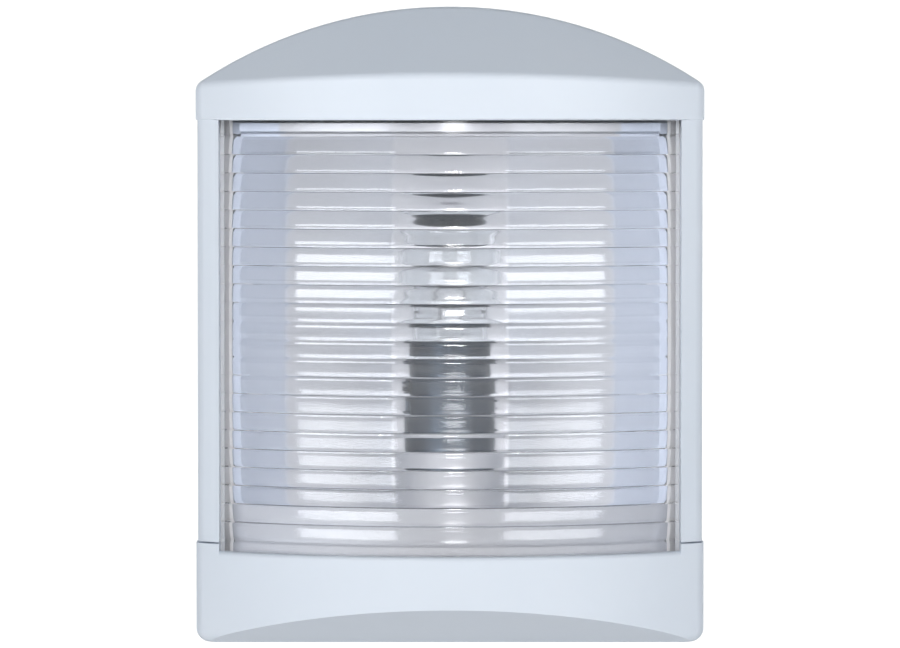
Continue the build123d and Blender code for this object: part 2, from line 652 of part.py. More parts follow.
BRACKET_BACK = -BACK_WALL - BRACKET_PAD - FIT
BRACKET_HALF = 9.0
BRACKET_HIGH = BRACKET_SCREW_Z + 4.0
PLATE_LOW = SHELL_LOW - PLATE_THICKNESS
BRACKET_RIM = 2.0  # how far the bracket stands out around the shell
BRACKET_BEND = 1.0
BRACKET_SCREW_LENGTH = 3.8
LEAD_HOLE = 6.0
with BuildPart() as holder_bracket:
    with BuildSketch(Plane.XY.offset(PLATE_LOW)):
        with Locations((0, LAMP_Y)):
            Circle(SHELL_OUTER + BRACKET_RIM)
        with Locations((0, (LAMP_Y + BRACKET_BACK) / 2)):
            Rectangle(2 * BRACKET_HALF, BRACKET_BACK - LAMP_Y)
        with Locations((0, LAMP_Y)):
            Circle(LEAD_HOLE, mode=Mode.SUBTRACT)
    extrude(amount=PLATE_THICKNESS)
    with BuildSketch(Plane.XZ.offset(-BRACKET_BACK)):
        with Locations((0, PLATE_LOW)):
            Rectangle(
                2 * BRACKET_HALF, BRACKET_HIGH - PLATE_LOW, align=(Align.CENTER, Align.MIN)
            )
        with Locations(
            (-BRACKET_SCREW_X, BRACKET_SCREW_Z), (BRACKET_SCREW_X, BRACKET_SCREW_Z)
        ):
            Circle(SMALL_SCREW_RADIUS + HOLE_PLAY, mode=Mode.SUBTRACT)
    extrude(amount=PLATE_THICKNESS)
    bend = holder_bracket.edges().filter_by(Axis.X).filter_by(
        lambda edge: abs(edge.center().Z - PLATE_LOW) < 0.01 and edge.center().Y > BRACKET_BACK - 0.1
    )
    fillet(bend, radius=BRACKET_BEND)
write(holder_bracket.part, "holder_bracket")
bracket_places = [(-BRACKET_SCREW_X, BRACKET_SCREW_Z), (BRACKET_SCREW_X, BRACKET_SCREW_Z)]
write(
    small_screws(bracket_places, BRACKET_BACK - PLATE_THICKNESS - FIT, BRACKET_SCREW_LENGTH),
    "bracket_screws",
)


def lamp_section(angle):
    """Upright plane through the lamp's axis, turned by the angle about it."""
    turn = radians(angle)
    return Plane(
        origin=(0, LAMP_Y, 0), x_dir=(cos(turn), sin(turn), 0), z_dir=(sin(turn), -cos(turn), 0)
    )


PIN_REACH = 8.7  # from the axis to a pin's end
PIN_GAP = 0.3
SLOT_CUT = 4.0  # radial length of the slots' cutters
RIM_HEIGHT = 1.0
RIM_BEAD = 0.3
slot_margin = degrees((PIN_RADIUS + PIN_GAP) / LAMP_CAP_RADIUS)
with BuildPart() as holder_shell:
    with BuildSketch(Plane.XY.offset(SHELL_LOW)):
        with Locations((0, LAMP_Y)):
            Circle(SHELL_OUTER)
            Circle(SHELL_INNER, mode=Mode.SUBTRACT)
    extrude(amount=SHELL_HIGH - SHELL_LOW)
    # Rolled rim
    with BuildSketch(Plane.XY.offset(SHELL_HIGH - RIM_HEIGHT)):
        with Locations((0, LAMP_Y)):
            Circle(SHELL_OUTER + RIM_BEAD)
            Circle(SHELL_INNER, mode=Mode.SUBTRACT)
    extrude(amount=RIM_HEIGHT)
    for start, pin_height in zip((0, 180), PIN_HEIGHTS):
        # Level leg of the bayonet slot
        with BuildSketch(lamp_section(start - slot_margin)):
            with Locations((LAMP_CAP_RADIUS, pin_height - PIN_RADIUS - PRESS_TRAVEL - PIN_GAP)):
                Rectangle(
                    SLOT_CUT, 2 * (PIN_RADIUS + PIN_GAP) + PRESS_TRAVEL,
                    align=(Align.MIN, Align.MIN),
                )
        revolve(
            axis=LAMP_AXIS, revolution_arc=UNLOCK_ANGLE + 2 * slot_margin, mode=Mode.SUBTRACT
        )
        # Upright leg, open at the rim
        with BuildSketch(lamp_section(start + UNLOCK_ANGLE - slot_margin)):
            with Locations((LAMP_CAP_RADIUS, pin_height)):
                Rectangle(
                    SLOT_CUT, SHELL_HIGH - pin_height + OVERLAP, align=(Align.MIN, Align.MIN)
                )
        revolve(axis=LAMP_AXIS, revolution_arc=2 * slot_margin, mode=Mode.SUBTRACT)
write(holder_shell.part, "holder_shell")

INSULATOR_LOW = SHELL_LOW + FIT
INSULATOR_HIGH = LAMP_LOW - 2.7
PLUNGER_RADIUS = 1.7
PLUNGER_BORE = 2.0
PLUNGER_LOW = LAMP_LOW - 5.9
PLUNGER_HIGH = LAMP_LOW - 0.55
PLUNGER_ROUNDING = 0.6
SPRING_SEAT = SHELL_LOW + 1.5
TAG_RADIUS = 0.8
TAG_DISC = 0.4
TAG_LOW = SHELL_LOW - 3.0
contact_places = [(-CONTACT_X, LAMP_Y), (CONTACT_X, LAMP_Y)]
with BuildPart() as holder_insulator:
    with BuildSketch(Plane.XY.offset(INSULATOR_LOW)):
        with Locations((0, LAMP_Y)):
            Circle(SHELL_INNER - FIT)
    extrude(amount=INSULATOR_HIGH - INSULATOR_LOW)
    with BuildSketch(Plane.XY.offset(SPRING_SEAT)):
        with Locations(*contact_places):
            Circle(PLUNGER_BORE)
    extrude(amount=INSULATOR_HIGH - SPRING_SEAT, mode=Mode.SUBTRACT)
    with BuildSketch(Plane.XY.offset(INSULATOR_LOW)):
        with Locations(*contact_places):
            Circle(TAG_RADIUS + FIT)
    extrude(amount=SPRING_SEAT - INSULATOR_LOW, mode=Mode.SUBTRACT)
write(holder_insulator.part, "holder_insulator")

with BuildPart() as contact_tags:
    with BuildSketch(Plane.XY.offset(SPRING_SEAT + FIT)):
        with Locations(*contact_places):
            Circle(PLUNGER_BORE - FIT)
    extrude(amount=TAG_DISC)
    with BuildSketch(Plane.XY.offset(TAG_LOW)):
        with Locations(*contact_places):
            Circle(TAG_RADIUS)
    extrude(amount=SPRING_SEAT - TAG_LOW + 2 * FIT)
write(contact_tags.part, "contact_tags")

with BuildPart() as contact_plungers:
    with BuildSketch(Plane.XY.offset(PLUNGER_LOW)):
        with Locations(*contact_places):
            Circle(PLUNGER_RADIUS)
    extrude(amount=PLUNGER_HIGH - PLUNGER_LOW)
    fillet(contact_plungers.edges().group_by(Axis.Z)[-1], radius=PLUNGER_ROUNDING)
write(contact_plungers.part, "contact_plungers")

SPRING_LOW = SPRING_SEAT + TAG_DISC + FIT
SPRING_END_PLAY = 0.05
SPRING_HIGH = PLUNGER_LOW
SPRING_WIRE = 0.2
SPRING_RADIUS = 1.4
SPRING_TURNS = 6
spring_places = {"left_contact_spring": -CONTACT_X, "right_contact_spring": CONTACT_X}
for spring_name, spring_x in spring_places.items():
    spring_height = SPRING_HIGH - SPRING_LOW - 2 * (SPRING_WIRE + SPRING_END_PLAY)
    with BuildPart() as contact_spring:
        with BuildLine():
            coil = Helix(
                pitch=spring_height / SPRING_TURNS, height=spring_height, radius=SPRING_RADIUS,
                center=(spring_x, LAMP_Y, SPRING_LOW + SPRING_WIRE + SPRING_END_PLAY),
            )
        with BuildSketch(Plane(origin=coil @ 0, z_dir=coil % 0)):
            Circle(SPRING_WIRE)
        sweep(is_frenet=True)
    write(contact_spring.part, spring_name)

# --- Lamp: glass, cap, pins, foot contacts, stem and filament -----------------------------------

LAMP_CAP_WALL = 0.4
LAMP_CAP_ROUNDING = 0.9
NECK_RADIUS = 6.8
FOOT_HEIGHT = 2.4
FOOT_RADIUS = LAMP_CAP_RADIUS - 1.6
FOOT_RECESS = 0.1  # how far the foot stands back inside the cap's edge
FOOT_STEP = 1.0  # how far the foot rises above the cap's floor
with BuildPart() as lamp_cap:
    with BuildSketch(lamp_section(0)):
        with Locations((0, LAMP_LOW)):
            Rectangle(LAMP_CAP_RADIUS, LAMP_CAP_HEIGHT, align=(Align.MIN, Align.MIN))
        with Locations((0, LAMP_LOW + FOOT_HEIGHT)):
            Rectangle(
                LAMP_CAP_RADIUS - LAMP_CAP_WALL, LAMP_CAP_HEIGHT, align=(Align.MIN, Align.MIN),
                mode=Mode.SUBTRACT,
            )
        with Locations((0, LAMP_LOW)):
            Rectangle(
                FOOT_RADIUS, LAMP_CAP_HEIGHT / 2, align=(Align.MIN, Align.MIN), mode=Mode.SUBTRACT
            )
    revolve(axis=LAMP_AXIS)
    cap_rim = lamp_cap.edges().group_by(Axis.Z)[0].sort_by(SortBy.LENGTH)[-1]
    fillet(cap_rim, radius=LAMP_CAP_ROUNDING)
write(lamp_cap.part, "lamp_cap")

with BuildPart() as lamp_foot:
    with BuildSketch(Plane.XY.offset(LAMP_LOW + FOOT_RECESS)):
        with Locations((0, LAMP_Y)):
            Circle(FOOT_RADIUS - FIT)
    extrude(amount=FOOT_HEIGHT + FOOT_STEP)
write(lamp_foot.part, "lamp_foot")

CONTACT_RADIUS = 1.5
CONTACT_HEIGHT = 0.5
CONTACT_ROUNDING = 0.35
with BuildPart() as lamp_foot_contacts:
    with BuildSketch(Plane.XY.offset(LAMP_LOW + FOOT_RECESS - FIT)):
        with Locations(*contact_places):
            Circle(CONTACT_RADIUS)
    extrude(amount=-CONTACT_HEIGHT)
    fillet(lamp_foot_contacts.edges().group_by(Axis.Z)[0], radius=CONTACT_ROUNDING)
write(lamp_foot_contacts.part, "lamp_foot_contacts")

with BuildPart() as lamp_pins:
    for reach_sign, pin_height in zip((1, -1), PIN_HEIGHTS):
        with BuildSketch(Plane.YZ.offset(reach_sign * (LAMP_CAP_RADIUS + FIT))):
            with Locations((LAMP_Y, pin_height)):
                Circle(PIN_RADIUS)
        extrude(amount=reach_sign * (PIN_REACH - LAMP_CAP_RADIUS))
write(lamp_pins.part, "lamp_pins")

NECK_LOW = LAMP_LOW + 9.0
with BuildPart() as lamp_glass:
    with BuildSketch(lamp_section(0)):
        with BuildLine():
            inner_radius = GLOBE_RADIUS - GLOBE_WALL
            inner_neck = NECK_RADIUS - GLOBE_WALL
            inner_join = GLOBE_CENTRE - sqrt(inner_radius**2 - inner_neck**2)
            outer_join = GLOBE_CENTRE - sqrt(GLOBE_RADIUS**2 - NECK_RADIUS**2)
            Polyline(
                (inner_neck, inner_join), (inner_neck, NECK_LOW), (NECK_RADIUS, NECK_LOW),
                (NECK_RADIUS, outer_join),
            )
            ThreePointArc(
                (NECK_RADIUS, outer_join), (GLOBE_RADIUS, GLOBE_CENTRE),
                (0, GLOBE_CENTRE + GLOBE_RADIUS),
            )
            Line((0, GLOBE_CENTRE + GLOBE_RADIUS), (0, GLOBE_CENTRE + inner_radius))
            ThreePointArc(
                (0, GLOBE_CENTRE + inner_radius), (inner_radius, GLOBE_CENTRE),
                (inner_neck, inner_join),
            )
        make_face()
    revolve(axis=LAMP_AXIS)
write(lamp_glass.part, "lamp_glass")

CROWN_THICKNESS = 0.15
CROWN_ANGLE = 47.0  # from the top of the globe to the crown's edge
crown_inner = GLOBE_RADIUS + FIT / 2
crown_outer = crown_inner + CROWN_THICKNESS


def globe_point(radius, angle):
    """Point of the globe's section at an angle from its top."""
    turn = radians(angle)
    return (radius * sin(turn), GLOBE_CENTRE + radius * cos(turn))


with BuildPart() as lamp_crown:
    with BuildSketch(lamp_section(0)):
        with BuildLine():
            ThreePointArc(
                globe_point(crown_outer, 0),
                globe_point(crown_outer, CROWN_ANGLE / 2),
                globe_point(crown_outer, CROWN_ANGLE),
            )
            Line(globe_point(crown_outer, CROWN_ANGLE), globe_point(crown_inner, CROWN_ANGLE))
            ThreePointArc(
                globe_point(crown_inner, CROWN_ANGLE),
                globe_point(crown_inner, CROWN_ANGLE / 2),
                globe_point(crown_inner, 0),
            )
            Line(globe_point(crown_inner, 0), globe_point(crown_outer, 0))
        make_face()
    revolve(axis=LAMP_AXIS)
write(lamp_crown.part, "lamp_crown")

STEM_RADIUS = 2.6
STEM_LOW = LAMP_LOW + FOOT_HEIGHT + FOOT_STEP + 0.2
STEM_HIGH = LAMP_LOW + 18.5
STEM_FLARE = 1.8
STEM_FLARE_HEIGHT = 6.0
STEM_BEVEL = 1.0
with BuildPart() as lamp_stem:
    with BuildSketch(lamp_section(0)):
        with BuildLine():
            Polyline(
                (0, STEM_LOW),
                (STEM_RADIUS + STEM_FLARE, STEM_LOW),
                (STEM_RADIUS, STEM_LOW + STEM_FLARE_HEIGHT),
                (STEM_RADIUS, STEM_HIGH - STEM_BEVEL),
                (STEM_RADIUS - STEM_BEVEL, STEM_HIGH),
                (0, STEM_HIGH),
                close=True,
            )
        make_face()
    revolve(axis=LAMP_AXIS)
write(lamp_stem.part, "lamp_stem")

SUPPORT_RADIUS = 0.25
SUPPORT_X = 1.9
SUPPORT_ROOT = 0.5  # how deep the supports are sunk into the stem
SUPPORT_RISE = 2.5
SUPPORT_BEND = 1.5
FILAMENT_HALF = 3.2
FILAMENT_RADIUS = 0.45
FILAMENT_END = 0.3  # how far the filament reaches beyond its supports
with BuildPart() as filament_supports:
    for side in (-1, 1):
        with BuildLine():
            support = FilletPolyline(
                (side * SUPPORT_X, LAMP_Y, STEM_HIGH - SUPPORT_ROOT),
                (side * SUPPORT_X, LAMP_Y, STEM_HIGH + SUPPORT_RISE),
                (side * FILAMENT_HALF, LAMP_Y, FILAMENT_HEIGHT - FILAMENT_RADIUS),
                radius=SUPPORT_BEND,
            )
        with BuildSketch(Plane(origin=support @ 0, z_dir=support % 0)):
            Circle(SUPPORT_RADIUS)
        sweep(path=support)
write(filament_supports.part, "filament_supports")

with BuildPart() as filament:
    with BuildSketch(Plane.YZ.offset(-FILAMENT_HALF - FILAMENT_END)):
        with Locations((LAMP_Y, FILAMENT_HEIGHT)):
            Circle(FILAMENT_RADIUS)
    extrude(amount=2 * (FILAMENT_HALF + FILAMENT_END))
write(filament.part, "filament")

# --- Terminal block and internal leads -----------------------------------------------------------

BLOCK_SIZE = (16.0, 9.5, 10.0)
CAGE_X = [TERMINAL_X - 4.2, TERMINAL_X + 4.2]
CAGE_Y = -BACK_WALL - 6.0
CAGE_RADIUS = 2.2
CAGE_END_GAP = 0.8  # between a cage's ends and the block's faces
CLAMP_RADIUS = 0.9
CLAMP_LENGTH = 1.6
CLAMP_HEAD_RADIUS = 1.3
CLAMP_HEAD_HEIGHT = 0.8
CLAMP_HEAD_RISE = 0.4  # between a cage and the head of its clamp screw
CLAMP_SLOT = (3.0, 0.4)
CLAMP_SLOT_DEPTH = 0.4
BLOCK_CHAMFER = 1.0
BLOCK_SCREW_PLAY = 0.1
BLOCK_SCREW_LENGTH = 11.0
with BuildPart() as terminal_block:
    with BuildSketch(Plane.XY.offset(BLOCK_LOW)):
        with Locations((TERMINAL_X, -BACK_WALL - FIT)):
            Rectangle(BLOCK_SIZE[0], BLOCK_SIZE[1], align=(Align.CENTER, Align.MAX))
    extrude(amount=BLOCK_SIZE[2])
    chamfer(terminal_block.edges().filter_by(Axis.Z), length=BLOCK_CHAMFER)
    with BuildSketch(Plane.XY.offset(BLOCK_LOW)):
        with Locations(*[(x, CAGE_Y) for x in CAGE_X]):
            Circle(CAGE_RADIUS + FIT)
    extrude(amount=BLOCK_SIZE[2], mode=Mode.SUBTRACT)
    with BuildSketch(Plane.XZ.offset(BACK_WALL)):
        with Locations(*[(x, BLOCK_SCREW_Z) for x in CAGE_X]):
            Circle(CLAMP_HEAD_RADIUS + FIT)
    extrude(amount=BLOCK_SIZE[1] + MARGIN, mode=Mode.SUBTRACT)
    with BuildSketch(Plane.XZ.offset(BACK_WALL)):
        with Locations((TERMINAL_X, BLOCK_SCREW_Z)):
            Circle(SMALL_SCREW_RADIUS + BLOCK_SCREW_PLAY)
    extrude(amount=BLOCK_SIZE[1] + MARGIN, mode=Mode.SUBTRACT)
write(terminal_block.part, "terminal_block")

WIRE_WAY = 1.2
with BuildPart() as terminal_cages:
    with BuildSketch(Plane.XY.offset(BLOCK_LOW + CAGE_END_GAP)):
        with Locations(*[(x, CAGE_Y) for x in CAGE_X]):
            Circle(CAGE_RADIUS)
            Circle(WIRE_WAY, mode=Mode.SUBTRACT)
    extrude(amount=BLOCK_SIZE[2] - 2 * CAGE_END_GAP)
    with BuildSketch(Plane.XZ.offset(-CAGE_Y)):
        with Locations(*[(x, BLOCK_SCREW_Z) for x in CAGE_X]):
            Circle(CLAMP_RADIUS + FIT)
    extrude(amount=CAGE_RADIUS + OVERLAP, mode=Mode.SUBTRACT)
write(terminal_cages.part, "terminal_cages")

with BuildPart() as terminal_screws:
    with BuildSketch(Plane.XZ.offset(-CAGE_Y + CAGE_RADIUS - CLAMP_RADIUS)):
        with Locations(*[(x, BLOCK_SCREW_Z) for x in CAGE_X]):
            Circle(CLAMP_RADIUS)
    extrude(amount=CLAMP_LENGTH)
    with BuildSketch(Plane.XZ.offset(-CAGE_Y + CAGE_RADIUS + CLAMP_HEAD_RISE)):
        with Locations(*[(x, BLOCK_SCREW_Z) for x in CAGE_X]):
            Circle(CLAMP_HEAD_RADIUS)
            Rectangle(*CLAMP_SLOT, mode=Mode.SUBTRACT)
    extrude(amount=CLAMP_HEAD_HEIGHT)
    with BuildSketch(Plane.XZ.offset(-CAGE_Y + CAGE_RADIUS + CLAMP_HEAD_RISE)):
        with Locations(*[(x, BLOCK_SCREW_Z) for x in CAGE_X]):
            Circle(CLAMP_HEAD_RADIUS)
    extrude(amount=CLAMP_HEAD_HEIGHT - CLAMP_SLOT_DEPTH)
write(terminal_screws.part, "terminal_screws")
block_screw = small_screws(
    [(TERMINAL_X, BLOCK_SCREW_Z)], -BACK_WALL - BLOCK_SIZE[1] - 2 * FIT, BLOCK_SCREW_LENGTH
)
write(block_screw, "terminal_block_screw")

BLOCK_HIGH = BLOCK_LOW + BLOCK_SIZE[2]
lead_routes = {
    "lead_black": [
        (CAGE_X[0], CAGE_Y, BLOCK_HIGH - 3.0),
        (CAGE_X[0], CAGE_Y - 0.6, BASE + 19.2),
        (CAGE_X[0] + 1.9, CAGE_Y - 5.6, BASE + 22.0),
        (CAGE_X[0] + 5.7, CAGE_Y - 11.0, BASE + 18.2),
        (CAGE_X[0] + 9.6, CAGE_Y - 15.8, BASE + 12.6),
        (-CONTACT_X - 5.0, LAMP_Y - 0.6, BASE + 9.2),
        (-CONTACT_X - 0.7, LAMP_Y - 0.2, BASE + 12.4),
        (-CONTACT_X, LAMP_Y, TAG_LOW - FIT),
    ],
    "lead_red": [
        (CAGE_X[1], CAGE_Y, BLOCK_HIGH - 3.0),
        (CAGE_X[1], CAGE_Y - 0.8, BASE + 17.2),
        (CAGE_X[1] + 1.4, CAGE_Y - 4.0, BASE + 19.3),
        (CAGE_X[1] + 4.2, CAGE_Y - 8.4, BASE + 17.0),
        (CAGE_X[1] + 8.2, CAGE_Y - 12.6, BASE + 12.2),
        (CONTACT_X - 4.6, LAMP_Y + 3.2, BASE + 9.0),
        (CONTACT_X - 0.6, LAMP_Y + 0.6, BASE + 12.6),
        (CONTACT_X, LAMP_Y, TAG_LOW - FIT),
    ],
}


BEND_SHARE = 0.45  # of the shorter run that a bend may take up


def arc_radii(points):
    """A bend radius for each inner point, as large as its two runs allow."""
    radii = []
    corners = [Vector(*point) for point in points]
    for before, corner, after in zip(corners, corners[1:], corners[2:]):
        run_in = corner - before
        run_out = after - corner
        shorter = min(run_in.length, run_out.length)
        radii.append(BEND_SHARE * shorter / tan(radians(run_in.get_angle(run_out)) / 2))
    return radii


for lead_name, route in lead_routes.items():
    with BuildPart() as lead:
        with BuildLine():
            path = FilletPolyline(*route, radius=arc_radii(route))
        with BuildSketch(Plane(origin=path @ 0, z_dir=path % 0)):
            Circle(LEAD_RADIUS)
        sweep(path=path)
    write(lead.part, lead_name)

# --- Captive cap screws, their sealing washers and inserts --------------------------------------

HEAD_ROUNDING = 0.6
TIP_CHAMFER = 0.5
SLOT_WIDTH = 1.0
SLOT_DEPTH = 1.2
WASHER_PLAY = 0.05  # above and below a washer
THREAD_PLAY = 0.06
for side_name, side in (("left", -1), ("right", 1)):
    place = (side * CAP_SCREW_X, CAP_SCREW_Y)
    with BuildPart() as cap_screw:
        with BuildSketch(Plane.XY.offset(HEAD_LOW)):
            with Locations(place):
                Circle(HEAD_RADIUS)
        extrude(amount=HEAD_HEIGHT)
        fillet(cap_screw.edges().group_by(Axis.Z)[0], radius=HEAD_ROUNDING)
        with BuildSketch(Plane.XY.offset(HEAD_LOW + HEAD_HEIGHT)):
            with Locations(place):
                Circle(CAP_SCREW_RADIUS)
        extrude(amount=SCREW_TIP - HEAD_LOW - HEAD_HEIGHT)
        chamfer(cap_screw.edges().group_by(Axis.Z)[-1], length=TIP_CHAMFER)
        with BuildSketch(Plane.XY.offset(HEAD_LOW)):
            with Locations(place):
                Rectangle(2 * HEAD_RADIUS + OVERLAP, SLOT_WIDTH)
        extrude(amount=SLOT_DEPTH, mode=Mode.SUBTRACT)
    write(cap_screw.part, f"{side_name}_cap_screw")

    with BuildPart() as screw_washer:
        with BuildSketch(Plane.XY.offset(HEAD_LOW + HEAD_HEIGHT + WASHER_PLAY)):
            with Locations(place):
                Circle(HEAD_RADIUS - 2 * WASHER_PLAY)
                Circle(CAP_SCREW_RADIUS + THREAD_PLAY, mode=Mode.SUBTRACT)
        extrude(amount=WASHER_THICKNESS - 2 * WASHER_PLAY)
    write(screw_washer.part, f"{side_name}_screw_washer")

with BuildPart() as thread_inserts:
    with BuildSketch(Plane.XY.offset(PILLAR_LOW + 0.1)):
        with Locations((-CAP_SCREW_X, CAP_SCREW_Y), (CAP_SCREW_X, CAP_SCREW_Y)):
            Circle(INSERT_RADIUS)
            Circle(CAP_SCREW_RADIUS + THREAD_PLAY, mode=Mode.SUBTRACT)
    extrude(amount=INSERT_LENGTH)
write(thread_inserts.part, "thread_inserts")
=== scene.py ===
"""Looks of a boat's navigation light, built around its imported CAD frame."""

import math

import bmesh
import bpy
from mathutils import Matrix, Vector


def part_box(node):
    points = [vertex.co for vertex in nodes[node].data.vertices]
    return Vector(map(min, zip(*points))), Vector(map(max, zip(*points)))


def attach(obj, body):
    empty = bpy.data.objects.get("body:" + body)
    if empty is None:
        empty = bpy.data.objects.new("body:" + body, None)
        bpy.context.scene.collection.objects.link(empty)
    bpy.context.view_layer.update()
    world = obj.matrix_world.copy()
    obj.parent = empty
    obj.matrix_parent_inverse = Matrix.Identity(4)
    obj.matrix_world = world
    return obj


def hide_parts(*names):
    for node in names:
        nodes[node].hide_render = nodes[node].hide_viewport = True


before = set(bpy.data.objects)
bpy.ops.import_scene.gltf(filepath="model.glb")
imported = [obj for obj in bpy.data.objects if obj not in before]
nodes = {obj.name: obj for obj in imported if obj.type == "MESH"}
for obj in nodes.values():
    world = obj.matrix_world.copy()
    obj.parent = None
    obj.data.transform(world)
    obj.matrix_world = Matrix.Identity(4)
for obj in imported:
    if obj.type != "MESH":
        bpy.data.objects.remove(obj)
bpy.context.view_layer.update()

MM = 0.001
SMOOTH_ANGLE = math.radians(32)
NOISE_ROUGHNESS = 0.55

# ------------------------------------------------------------------ places read from the frame
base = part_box("rear_housing")[0].z
lens_low, lens_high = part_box("lens")
filament_low, filament_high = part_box("filament")
reflector_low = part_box("reflector")[0]


# ------------------------------------------------------------------ objects
def make_object(name, mesh, material=None):
    """Links an object made of a bmesh, which it frees."""
    data = bpy.data.meshes.new(name)
    mesh.to_mesh(data)
    mesh.free()
    if material is not None:
        data.materials.append(material)
    made = bpy.data.objects.new(name, data)
    bpy.context.scene.collection.objects.link(made)
    return made


def smooth(data, keep_sharp=True):
    """Smooth shading, where edges past SMOOTH_ANGLE stay sharp unless told otherwise."""
    data.shade_smooth()
    if keep_sharp:
        data.set_sharp_from_angle(angle=SMOOTH_ANGLE)


def stand(name, data, place, target):
    """Links a lamp or camera that stands at a place and faces a target."""
    standing = bpy.data.objects.new(name, data)
    standing.location = place
    facing = Vector(target) - Vector(place)
    standing.rotation_euler = facing.to_track_quat("-Z", "Y").to_euler()
    bpy.context.scene.collection.objects.link(standing)
    return standing


# ------------------------------------------------------------------ materials
class Shader:
    """A node material with short helpers for procedural detail."""

    def __init__(self, name, **values):
        self.material = bpy.data.materials.new(name)
        self.material.use_nodes = True
        self.tree = self.material.node_tree
        self.surface = self.tree.nodes["Principled BSDF"]
        for socket, value in values.items():
            self.surface.inputs[socket.replace("_", " ")].default_value = value

    def node(self, kind, **values):
        new = self.tree.nodes.new(kind)
        for name, value in values.items():
            if name in new.inputs:
                new.inputs[name].default_value = value
            elif name.replace("_", " ") in new.inputs:
                new.inputs[name.replace("_", " ")].default_value = value
            else:
                setattr(new, name, value)
        return new

    def link(self, source, target):
        self.tree.links.new(source, target)

    def place(self, stretch=(1, 1, 1), shift=(0, 0, 0)):
        """Object coordinates in metres, stretched and shifted along the axes."""
        where = self.node("ShaderNodeTexCoord")
        scaled = self.node("ShaderNodeMapping")
        scaled.inputs["Scale"].default_value = stretch
        scaled.inputs["Location"].default_value = shift
        self.link(where.outputs["Object"], scaled.inputs["Vector"])
        return scaled.outputs["Vector"]

    def noise(self, scale, detail=4.0, stretch=(1, 1, 1)):
        made = self.node("ShaderNodeTexNoise", Scale=scale, Detail=detail, Roughness=NOISE_ROUGHNESS)
        self.link(self.place(stretch), made.inputs["Vector"])
        return made.outputs["Fac"]

    def ramp(self, factor, stops):
        made = self.node("ShaderNodeValToRGB")
        made.color_ramp.elements[0].position = stops[0][0]
        made.color_ramp.elements[0].color = stops[0][1]
        made.color_ramp.elements[1].position = stops[-1][0]
        made.color_ramp.elements[1].color = stops[-1][1]
        for position, colour in stops[1:-1]:
            made.color_ramp.elements.new(position).color = colour
        self.link(factor, made.inputs["Fac"])
        return made.outputs["Color"]

    def span(self, value, low, high, first=0.0, last=1.0):
        """Value mapped from low..high to first..last."""
        made = self.node("ShaderNodeMapRange")
        limits = {"From Min": low, "From Max": high, "To Min": first, "To Max": last}
        for name, number in limits.items():
            made.inputs[name].default_value = number
        self.link(value, made.inputs["Value"])
        return made.outputs["Result"]

    def math(self, operation, first, second):
        made = self.node("ShaderNodeMath", operation=operation)
        self.link(first, made.inputs[0])
        self.link(second, made.inputs[1])
        return made.outputs["Value"]

    def blend(self, first, second, share=None, kind="MIX"):
        """Two colours mixed by a share, which is 1 where none is given."""
        mixed = self.node("ShaderNodeMix", data_type="RGBA", blend_type=kind)
        sockets = [s for s in mixed.inputs if s.type == "RGBA"]
        mixed.inputs["Factor"].default_value = 1.0
        if share is not None:
            self.link(share, mixed.inputs["Factor"])
        self.link(first, sockets[0])
        self.link(second, sockets[1])
        return next(s for s in mixed.outputs if s.type == "RGBA")

    def colour(self, factor, stops):
        self.link(self.ramp(factor, stops), self.surface.inputs["Base Color"])

    def roughness(self, factor, low, high):
        self.link(self.span(factor, 0.0, 1.0, low, high), self.surface.inputs["Roughness"])

    def bump(self, height, distance, strength=1.0):
        """Adds a bump on top of the ones already there."""
        made = self.node("ShaderNodeBump", Distance=distance, Strength=strength)
        self.link(height, made.inputs["Height"])
        before = self.surface.inputs["Normal"].links
        if before:
            self.link(before[0].from_socket, made.inputs["Normal"])
        self.link(made.outputs["Normal"], self.surface.inputs["Normal"])


def grey(value, tint=(1.0, 1.0, 1.0)):
    return (value * tint[0], value * tint[1], value * tint[2], 1.0)


def plastic_white():
    """UV-stable white plastic: fine moulded grain, faint yellowing and handling marks."""
    made = Shader("white_plastic", IOR=1.49, Subsurface_Weight=0.05, Subsurface_Scale=0.002)
    made.surface.inputs["Subsurface Radius"].default_value = (1.0, 0.9, 0.8)
    broad = made.noise(22.0, detail=3.0)
    made.colour(broad, [(0.30, (0.82, 0.87, 0.945, 1)), (0.70, (0.85, 0.895, 0.965, 1))])
    made.roughness(made.noise(60.0, detail=5.0), 0.34, 0.50)
    made.bump(made.noise(1500.0, detail=2.0), 0.00003, 0.35)
    made.bump(made.noise(38.0, detail=1.0), 0.0004, 0.12)
    return made.material


REFLECTOR_FLOOR = reflector_low.z + 10.2 * MM  # top of its floor, inside
COLLAR_TOP = base + 38.0 * MM
COLLAR_HALF = 10.3 * MM
COLLAR_BACK = -17.0 * MM
BLUR = 0.2 * MM  # width of the change between two shades
SHADE_SPAN = 40.0 * MM  # from the middle to beyond the reflector's sides


